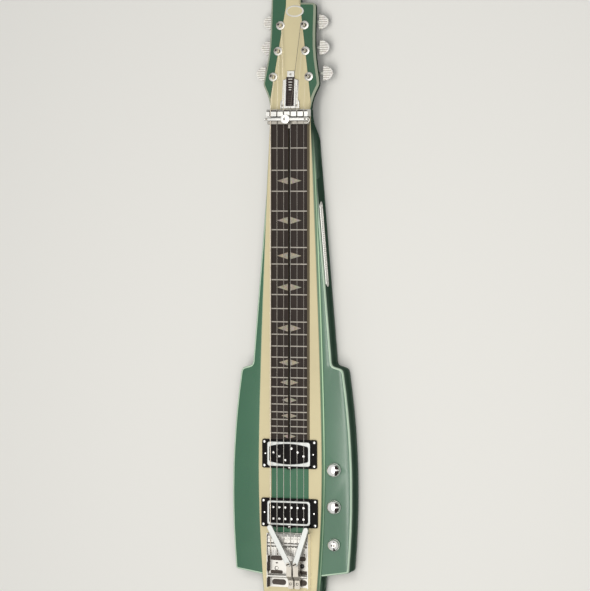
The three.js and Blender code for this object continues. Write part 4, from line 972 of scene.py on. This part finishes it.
class LAPSTEEL_OT_pickups(bpy.types.Operator):
    """Ring screws, plated frames, height tabs and pole pieces of both pickups"""

    bl_idname = "lapsteel.pickups"
    bl_label = "Pickup trim"

    def execute(self, context):
        radius = context.scene.lap_steel_sizes.screw_radius
        signs = ((-1, -1), (1, -1), (-1, 1), (1, 1))
        for name in ("neck", "bridge"):
            edge, y = corners(f"{name}_pickup_ring")[1].x, middle(f"{name}_pickup_ring").y
            screws = [(radius, 1.1, at(sx * (edge - 3.8), y + sy * 18.3, BOARD_TOP),
                       0.4 + k, 0.2, True) for k, (sx, sy) in enumerate(signs)]
            screws += [(radius * 0.72, 1.0, at(sx * (edge - 5.4), y, BOARD_TOP), 0.9 + k)
                       for k, sx in enumerate((-1, 1))]
            part(f"{name}_ring_screws", drawn(screw_head, *screws), "cap chrome")
            self.frame(name)
            low = y - 22.3
            part(f"{name}_height_tab", drawn(block, (
                (-4.2, low - 1.6, BOARD_TOP - 3.4), (4.2, low + 4.2, BOARD_TOP + 0.9), 0.5, 3)),
                "black")
            part(f"{name}_tab_screw", drawn(screw_head, (
                1.5, 0.8, at(0, low + 1.4, BOARD_TOP + 0.88), 0.2)), "chrome")
        staggered = [(x, (2.2 if x < 0 else 8.8) - (k % 3) * 5.7) for k, x in enumerate(POLE_X)]
        self.poles("neck", staggered)
        self.poles("bridge", [(x, side * 8.8) for x in POLE_X for side in (-1, 1)])
        return {"FINISHED"}

    def frame(self, name):
        """The plated frame: a barrel-shaped opening at the neck, a square one at the bridge."""
        low, high = corners(f"{name}_pickup_frame")
        centre, half = (low + high) / 2, (high - low) / 2
        bow, corner = (4.4, 2.0) if name == "neck" else (0.0, 3.4)
        bm = drawn(open_frame, (
            soft_rectangle(half.x - 0.2, half.y - 0.1, 4.2),
            soft_rectangle(half.x - 3.7, half.y - 3.4, corner, bow),
            low.z, high.z - 0.1, 0.9, 3, at(centre.x, centre.y, 0)))
        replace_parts(part(f"{name}_pickup_rim", bm, "arm satin"), f"{name}_pickup_frame")

    def poles(self, name, places):
        y = middle(f"{name}_pickup_ring").y
        top = corners(f"{name}_pickup_bobbin")[1].z
        profile = [(0, top - 1.9), (1.95, top - 1.9), (1.95, top - 0.35), (1.7, top + 0.03),
                   (0, top + 0.06)]
        bm = bmesh.new()
        for k, (x, dy) in enumerate(places):
            spot = at(x, y + dy, 0)
            turned(bm, profile, 24, spot)
            block(bm, (-1.35, -0.25, top - 0.1), (1.35, 0.25, top + 0.08), 0.05, 1,
                  spot @ turn_about_z(0.7 * k))
        part(f"{name}_pole_tops", bm, "cap chrome")


class LAPSTEEL_OT_tailpiece(bpy.types.Operator):
    """Arms, screws, spacers, ball ends and the painted shade under and inside the tailpiece"""

    bl_idname = "lapsteel.tailpiece"
    bl_label = "Tailpiece trim"

    def execute(self, context):
        self.arm("left", 5.4, 67.1, 28.4)
        self.arm("right", 16.2, 60.0, -17.9)
        self.screws()
        self.plate_trim()
        self.wall_trim()
        self.saddle_trim()
        return {"FINISHED"}

    def arm(self, name, x, length, angle):
        """A palm lever's arm, the slotted screw it swivels on and the finger's screw."""
        lever = f"{name}_lever"
        place = at(x, CLAMP_Y, ARM_LEVEL) @ turn_about_z(math.radians(angle))
        bm = drawn(plate, (pill(-3.6, length, 8.2), 0.0, ARM_THICK, 0.5, 3, place))
        bar = part(f"{name}_arm_bar", bm, "arm satin", f"{name}_arm")
        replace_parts(bar, f"{name}_palm_arm")
        turn = 0.4
        screw = (2.9, 1.5, at(x, CLAMP_Y, ARM_LEVEL + 3.8), turn - math.pi / 2, 0.66)
        part(f"{name}_clamp_screw", drawn(screw_head, screw), "arm satin", lever)
        # Painted shade: a black block in the swivel screw's slot.
        slot = ((-2.5, -0.95, 75.08), (2.5, 0.95, 75.43), 0.02, 1,
                at(x, CLAMP_Y, 0) @ turn_about_z(turn))
        part(f"{name}_clamp_slot", drawn(block, slot), "black", lever)
        finger = (2.3, 1.0, at(x, -59.5, SADDLE_TOP), 0.3)
        part(f"{name}_finger_screw", drawn(screw_head, finger), "worn nickel", lever)

    def screws(self):
        part("saddle_screws", drawn(screw_head, *[
            (1.3, 0.7, at(x + side * 2.4, 10.0, SADDLE_TOP), pace * k, 0.26)
            for k, x in enumerate(STRING_X) for side, pace in ((-1, 0.4), (1, 0.7))]),
            "satin chrome")
        part("plate_screws", drawn(screw_head, *[
            (radius, 1.0, at(x, y, PLATE_TOP), 0.1 * x, 0.24)
            for x, y, radius in ((-29.4, -51.3, 1.6), (30.2, -33.3, 1.3))]), "chrome")

    def plate_trim(self):
        """The round plug in the plate, and the dark eyelets."""
        spot = at(PLUG_X, PLUG_Y, 0)
        plug = [(0, 49.1), (2.2, 49.1), (2.2, 49.4), (1.9, 49.5), (0, 49.5)]
        part("plate_plug", drawn(turned, (plug, 28, spot)), "satin chrome")
        ring = [(2.2, 49.15), (3.1, 49.15), (3.1, 49.4), (2.2, 49.5), (2.2, 49.15)]
        bm = drawn(turned, (ring, 32, spot))
        plate(bm, ellipse(2.2, 1.0, 24, -20.6, -29.6), 49.15, 49.35, 0.05, 1)
        part("plate_eyelets", bm, "grey_and_shade")

    def wall_trim(self):
        """Painted shade: a dark sheet under the frame, and dark lining and strips on its left wall.
        """
        low, high = corners("tailpiece_frame")
        part("tailpiece_shade_sheet", drawn(block, (
            (low.x + 0.6, low.y + 0.6, low.z - 0.05),
            (high.x - 0.6, high.y - 0.6, low.z + 0.05), 0.02, 1)), "grey_and_shade")
        wall, rail = low.x + 1.5, low.z + 14
        part("tailpiece_wall_shade", drawn(block, *[
            ((wall - 0.05, start, low.z + 2.3), (wall + 0.3, end, rail - 0.4), 0.05, 1)
            for start, end in ((-66.0, -51.0), (-42.0, -18.0))]), "grey_and_shade")
        part("tailpiece_wall_shade_strips", drawn(block, *[
            ((low.x + 0.5, start, rail - 0.1), (wall, end, rail + 0.06), 0.03, 1)
            for start, end in ((-65.5, -51.5), (-41.5, -27.0), (-16.5, 15.5))]),
            "insert")

    def saddle_trim(self):
        """Spacers between the saddles, the ball ends, and a screw seen through the plate."""
        gaps = [(left + right) / 2 for left, right in zip(STRING_X, STRING_X[1:])]
        part("saddle_spacers", drawn(block, *[
            ((x - 0.62, -16.2, 49.4), (x + 0.62, 16.2, 59.6), 0.2, 2) for x in gaps]),
            "satin chrome")
        sight = (3.0, 1.6, at(20.4, -33.3, corners("tailpiece_frame")[0].z), 0.75, 0.3, True)
        part("sight_screw", drawn(screw_head, sight), "dark metal")
        ball = [(0, -1.9), (1.2, -1.7), (1.9, -0.9), (2.0, 0), (1.9, 0.9), (1.2, 1.7), (0, 1.9)]
        part("string_ball_ends", drawn(turned, *[
            (ball, 20, at(x, -15.2, 55.2) @ ALONG_X) for x in STRING_X]), "nickel")


class LAPSTEEL_OT_controls(bpy.types.Operator):
    """Domed knobs with their washers and painted dark reflections, the selector's pin and the
    jack's nut
    """

    bl_idname = "lapsteel.controls"
    bl_label = "Controls"

    # Painted dark reflections on a knob's crown: a sector's centre, its angles, and how near and
    # far it reaches
    fields = ((4.2, 1.9, 0.0, 1.6, 0.3, 5.6), (4.0, -0.4, -1.6, 0.0, 0.3, 7.6))
    selector_dark_reflections = ((2.4, -2.4, -1.8, -1.1, 0.3, 6.4), (0.7, 0.0, 2.2, 4.0, 0.4, 2.6),
                       (1.6, 3.0, 0.7, 1.6, 0.8, 3.2))

    def execute(self, context):
        washer = [(3.3, 38.05), (8.6, 38.05), (8.6, 38.9), (7.8, 39.35), (3.3, 39.35), (3.3, 38.05)]
        for name in ("volume", "tone", "selector"):
            low, high = corners(f"{name}_knob")
            radius = (high.x - low.x) / 2
            spot = at((low.x + high.x) / 2, (low.y + high.y) / 2, 0)
            self.cap(name, spot, radius, context.scene.lap_steel_sizes.knob_ridges)
            part(f"{name}_washer", drawn(turned, (washer, 40, spot)), "satin chrome")
            fields = self.selector_dark_reflections if name == "selector" else self.fields
            part(f"{name}_mark", drawn(self.dark_reflection_patch, *[
                (radius - CROWN_INSET, spot, *field) for field in fields]),
                "insert", name)
        pin = [(0, 50.6), (1.9, 50.6), (1.9, 50.95), (1.5, 51.15), (0, 51.2)]
        part("selector_pin", drawn(turned, (pin, 28, spot @ at(2.6, 0, 0))),
             "groove", "selector")
        self.jack_nut()
        return {"FINISHED"}

    def dome(self, radius, reach):
        """Height of the cap's crown at a distance from its middle."""
        return DOME_LEVEL + DOME_RISE * math.sqrt(max(0.0, 1 - (reach / radius) ** 2))

    def cap(self, name, spot, radius, ridges):
        crown = radius - CROWN_INSET
        angles = [math.pi / 16 * j for j in range(8)]
        profile = [(0, 24.3), (2.95, 24.3), (2.95, KNOB_SEAT), (radius, KNOB_SEAT), (radius, 40.9),
                   (crown, 41.4)]
        profile += [(crown * math.cos(a), self.dome(crown, crown * math.cos(a))) for a in angles]
        bm = drawn(turned, (profile + [(0, self.dome(crown, 0))], 64, spot))
        ridged(bm, ridges, (radius - 0.9, -0.26, 41.6), (radius - 0.2, 0.26, 45.4), 0.12, spot)
        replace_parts(part(f"{name}_cap", bm, "cap chrome", name), f"{name}_knob")

    def dark_reflection_patch(self, bm, crown, spot, x, y, start, end, near, far):
        """A dark patch laid just above the crown: a painted reflection."""
        before = set(bm.verts)
        steps = 6
        reach = [near + (far - near) * j / steps for j in range(steps + 1)]
        line = [bm.verts.new((r, 0, 0)) for r in reach]
        edges = [bm.edges.new(pair) for pair in zip(line, line[1:])]
        bmesh.ops.rotate(bm, cent=(0, 0, 0), matrix=Matrix.Rotation(start, 3, "Z"), verts=line)
        bmesh.ops.spin(bm, geom=line + edges, cent=(0, 0, 0), axis=(0, 0, 1), angle=end - start,
                       steps=8, use_merge=False, use_duplicate=False)
        verts = added(bm, before)
        bmesh.ops.translate(bm, vec=(x, y, 0), verts=verts)
        for v in verts:
            v.co.xy *= min(1.0, (crown - 0.25) / v.co.xy.length)
            v.co.z = self.dome(crown, v.co.xy.length) + 0.2
        faces = unique(f for v in verts for f in v.link_faces)
        bmesh.ops.recalc_face_normals(bm, faces=faces)
        if faces[0].normal.z < 0:
            bmesh.ops.reverse_faces(bm, faces=faces)
        bmesh.ops.solidify(bm, geom=faces, thickness=0.4)
        bmesh.ops.transform(bm, matrix=spot, verts=added(bm, before))

    def jack_nut(self):
        centre = middle("output_jack")
        seat = at(centre.x, corners("output_jack")[0].y, centre.z) @ ALONG_Y
        nut = [(3.6, 0), (6.3, 0), (6.3, 1.5), (5.9, 1.9), (4.0, 1.9), (3.6, 1.6), (3.6, 0)]
        washer = [(6.6, 0), (8.4, 0), (8.2, 0.5), (6.6, 0.5), (6.6, 0)]
        part("jack_nut", drawn(turned, (nut, 6, seat), (washer, 36, seat)), "chrome")


class LAPSTEEL_OT_capo(bpy.types.Operator):
    """Knurled capo knob, the link at the end of the bars, the dark liners in the nut's slots and
    the painted shadow behind the nut
    """

    bl_idname = "lapsteel.capo"
    bl_label = "Capo trim"

    def execute(self, context):
        self.thumb_nut(at(0, CAPO_Y, corners("capo_knob")[0].z))
        self.end_loop()
        part("nut_slot_liners", drawn(block, *[
            ((x - 0.85, NUT_FRONT + 0.5, 60.9), (x + 0.85, BREAK_Y - 3.8, 61.25), 0.1, 1)
            for x in STRING_X]), "dark metal")
        # Painted shadow: dark blocks behind the nut, between the strings.
        ends = [-NECK_HALF] + STRING_X + [NECK_HALF]
        lines = []
        for k, (left, right) in enumerate(zip(ends, ends[1:])):
            wave = 0.25 if k % 2 else -0.25
            lines.append(((left + 0.9, 667.6 + wave, 61.6),
                          (right - 0.9, 669.2 + wave, 63.5), 0.1, 1))
        part("nut_back_shadow", drawn(block, *lines), "insert")
        return {"FINISHED"}

    def thumb_nut(self, seat):
        bm = drawn(turned, ([(2.5, 0), (6.6, 0), (7.0, 0.5), (7.0, 4.4), (6.8, 4.85), (6.4, 5.0),
                             (2.7, 5.0), (2.5, 4.8), (2.5, 0)], 56, seat))
        ridged(bm, 40, (6.6, -0.22, 0.8), (7.15, 0.22, 3.7), 0.1, seat)
        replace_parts(part("capo_thumb_nut", bm, "cap chrome", "capo_nut"), "capo_knob")
        stud = [(0, 4.2), (2.45, 4.2), (2.45, 4.9), (1.9, 5.0), (0, 5.0)]
        part("capo_stud_end", drawn(turned, (stud, 28, seat)), "cap chrome", "capo")
        centre = [(0, 4.8), (2.1, 4.8), (2.1, 5.0), (1.7, 5.06), (0, 5.06)]
        part("capo_stud_centre", drawn(turned, (centre, 24, seat)), "worn nickel", "capo")

    def end_loop(self):
        """A flat wire loop round the ends of the capo's bars."""
        start, bend, y = 27.5, 31.0, 654.4
        radius, wire = 5.2, 1.1
        angles = [math.pi * (j / 16 - 0.5) for j in range(17)]
        inside = radius - wire
        loop = [(start, y - radius), *arc(angles, radius, radius, bend, y), (start, y + radius),
                (start, y + inside), *arc(angles, inside, -inside, bend, y), (start, y - inside)]
        part("capo_end_loop", drawn(plate, (loop, 59.9, 62.2, 0.3, 2)),
             "satin chrome", "capo")


class LAPSTEEL_OT_side_plate(bpy.types.Operator):
    """Louvres and screws on the long side plate"""

    bl_idname = "lapsteel.side_plate"
    bl_label = "Side plate trim"

    def execute(self, context):
        wall = math.atan2(SHOULDER_HALF - NECK_HALF, SCALE_LENGTH - SHOULDER_Y)
        spot = middle("side_plate")
        reach = NECK_HALF + math.tan(wall) * (SCALE_LENGTH - spot.y)
        place = at(reach, spot.y, spot.z) @ turn_about_z(wall)
        pitch, count = 3.3, 23
        rows = [(k - count // 2) * pitch for k in range(count)]
        part("side_plate_louvres", drawn(block, *[
            ((0.7, y - 0.75, -4.2), (1.4, y + 0.75, 4.2), 0.3, 2, place) for y in rows]),
            "satin chrome")
        part("side_plate_screws", drawn(screw_head, *[
            (2.0, 1.0, place @ at(0.8, y, 0) @ ALONG_X, 0.6 + k, 0.24, True)
            for k, y in enumerate((-56.0, 56.0))]), "chrome")
        return {"FINISHED"}


class LAPSTEEL_OT_back(bpy.types.Operator):
    """Screws of the cavity cover in the back"""

    bl_idname = "lapsteel.back"
    bl_label = "Back cover screws"

    def execute(self, context):
        places = [(x, y) for y in (-16.5, 58.2, 132.5) for x in (56.0, 82.0)]
        part("back_cover_screws", drawn(screw_head, *[
            (1.9, 0.25, at(x, y, 0.32) @ DOWNWARDS, 0.5 * k, 0.24, True)
            for k, (x, y) in enumerate(places)]), "satin chrome")
        return {"FINISHED"}


class LAPSTEEL_OT_stage(bpy.types.Operator):
    """Floor, lamps, world and the photograph's camera"""

    bl_idname = "lapsteel.stage"
    bl_label = "Studio"

    # Every place and size of the studio is in metres
    def execute(self, context):
        scene = context.scene
        scene.view_settings.view_transform = "Standard"
        self.floor(scene)
        self.world(scene)
        self.lamp(scene, "Softbox", (0.26, 0.1, 2.3), 2.0, 24.0)
        self.lamp(scene, "Strip", (0.0, 0.1, 2.28), 0.24, 14.0)
        self.lamp(scene, "Overhead", (0.2, 0.4, 2.6), 2.4, 12.0).visible_glossy = False
        self.camera(scene)
        return {"FINISHED"}

    def shown_pale(self, tree, plain, pale, surface):
        """Shows a pale shader to the camera and to mirrors; the plain one takes or gives light."""
        seen = add_node(tree, "ShaderNodeLightPath").outputs
        rays = {0: seen["Is Camera Ray"], 1: seen["Is Glossy Ray"]}
        either = add_node(tree, "ShaderNodeMath", rays, operation="MAXIMUM")
        sources = {k: node.outputs[0] for k, node in enumerate((either, plain, pale))}
        give(tree, surface, add_node(tree, "ShaderNodeMixShader", sources).outputs[0])

    def floor(self, scene):
        bm = bmesh.new()
        bmesh.ops.create_grid(bm, x_segments=1, y_segments=1, size=6.0,
                              matrix=at(0, 0.4, -0.0005))
        mesh = bpy.data.meshes.new("floor")
        bm.to_mesh(mesh)
        bm.free()
        floor = bpy.data.objects.new("floor", mesh)
        scene.collection.objects.link(floor)
        material = bpy.data.materials.new("Pale floor")
        material.use_nodes = True
        tree = material.node_tree
        tree.nodes.remove(tree.nodes["Principled BSDF"])
        dim, pale = (add_node(tree, "ShaderNodeBsdfDiffuse", {"Color": colour})
                     for colour in (srgb(120, 120, 118), srgb(238, 237, 233)))
        self.shown_pale(tree, dim, pale, tree.nodes["Material Output"].inputs["Surface"])
        mesh.materials.append(material)

    def world(self, scene):
        world = bpy.data.worlds.new("Studio")
        world.use_nodes = True
        tree = world.node_tree
        dim = tree.nodes["Background"]
        dim.inputs["Color"].default_value = srgb(236, 240, 244)
        dim.inputs["Strength"].default_value = 0.28
        pale = add_node(tree, "ShaderNodeBackground",
                        {"Color": srgb(240, 240, 239), "Strength": 0.95})
        self.shown_pale(tree, dim, pale, tree.nodes["World Output"].inputs["Surface"])
        scene.world = world

    def lamp(self, scene, name, where, width, watts):
        """A long rectangle of light that faces straight down."""
        data = bpy.data.lights.new(name, "AREA")
        data.shape = "RECTANGLE"
        data.size = width
        data.size_y = 2.4
        data.energy = watts
        data.color = (1.0, 0.975, 0.93)
        lamp = bpy.data.objects.new(name, data)
        lamp.location = where
        scene.collection.objects.link(lamp)
        return lamp

    def camera(self, scene):
        data = bpy.data.cameras.new("Camera")
        data.sensor_fit = "VERTICAL"
        data.sensor_height = 24.0
        view_height = PICTURE_HEIGHT * PIXEL
        data.lens = data.sensor_height * VIEW_DISTANCE / view_height
        data.shift_y = (PICTURE_Y - VIEW_TARGET[1]) / view_height
        data.shift_x = (PICTURE_MIDDLE - MIDLINE) / PICTURE_HEIGHT
        data.clip_end = 50
        camera = bpy.data.objects.new("Camera", data)
        right = Vector((math.cos(VIEW_LEAN), 0, -math.sin(VIEW_LEAN)))
        up = Vector((0, 1, 0))
        back = right.cross(up)
        turn = Matrix((right, up, back)).transposed().to_4x4()
        camera.matrix_world = at(*(Vector(VIEW_TARGET) + back * VIEW_DISTANCE)) @ turn
        scene.collection.objects.link(camera)
        scene.camera = camera


OPERATORS = (
    LAPSTEEL_OT_stage,
    LAPSTEEL_OT_finishes,
    LAPSTEEL_OT_fingerboard,
    LAPSTEEL_OT_headstock,
    LAPSTEEL_OT_tuners,
    LAPSTEEL_OT_pickups,
    LAPSTEEL_OT_tailpiece,
    LAPSTEEL_OT_controls,
    LAPSTEEL_OT_capo,
    LAPSTEEL_OT_side_plate,
    LAPSTEEL_OT_back,
)


class LAPSTEEL_PT_panel(bpy.types.Panel):
    """The guitar's builders in the sidebar"""

    bl_idname = "LAPSTEEL_PT_panel"
    bl_label = "Lap Steel"
    bl_space_type = "VIEW_3D"
    bl_region_type = "UI"
    bl_category = "Lap Steel"

    def draw(self, context):
        for group in (context.scene.lap_steel_sizes, context.scene.lap_steel_colours):
            for key in type(group).__annotations__:
                self.layout.prop(group, key)
        for operator in OPERATORS:
            self.layout.operator(operator.bl_idname)


CLASSES = (LapSteelSizes, LapSteelColours) + OPERATORS + (LAPSTEEL_PT_panel,)


def register():
    for cls in CLASSES:
        bpy.utils.register_class(cls)
    bpy.types.Scene.lap_steel_sizes = bpy.props.PointerProperty(type=LapSteelSizes)
    bpy.types.Scene.lap_steel_colours = bpy.props.PointerProperty(type=LapSteelColours)


def unregister():
    del bpy.types.Scene.lap_steel_colours
    del bpy.types.Scene.lap_steel_sizes
    for cls in reversed(CLASSES):
        bpy.utils.unregister_class(cls)


def main():
    register()
    for operator in OPERATORS:
        group, name = operator.bl_idname.split(".")
        getattr(getattr(bpy.ops, group), name)()


if __name__ == "__main__":
    main()
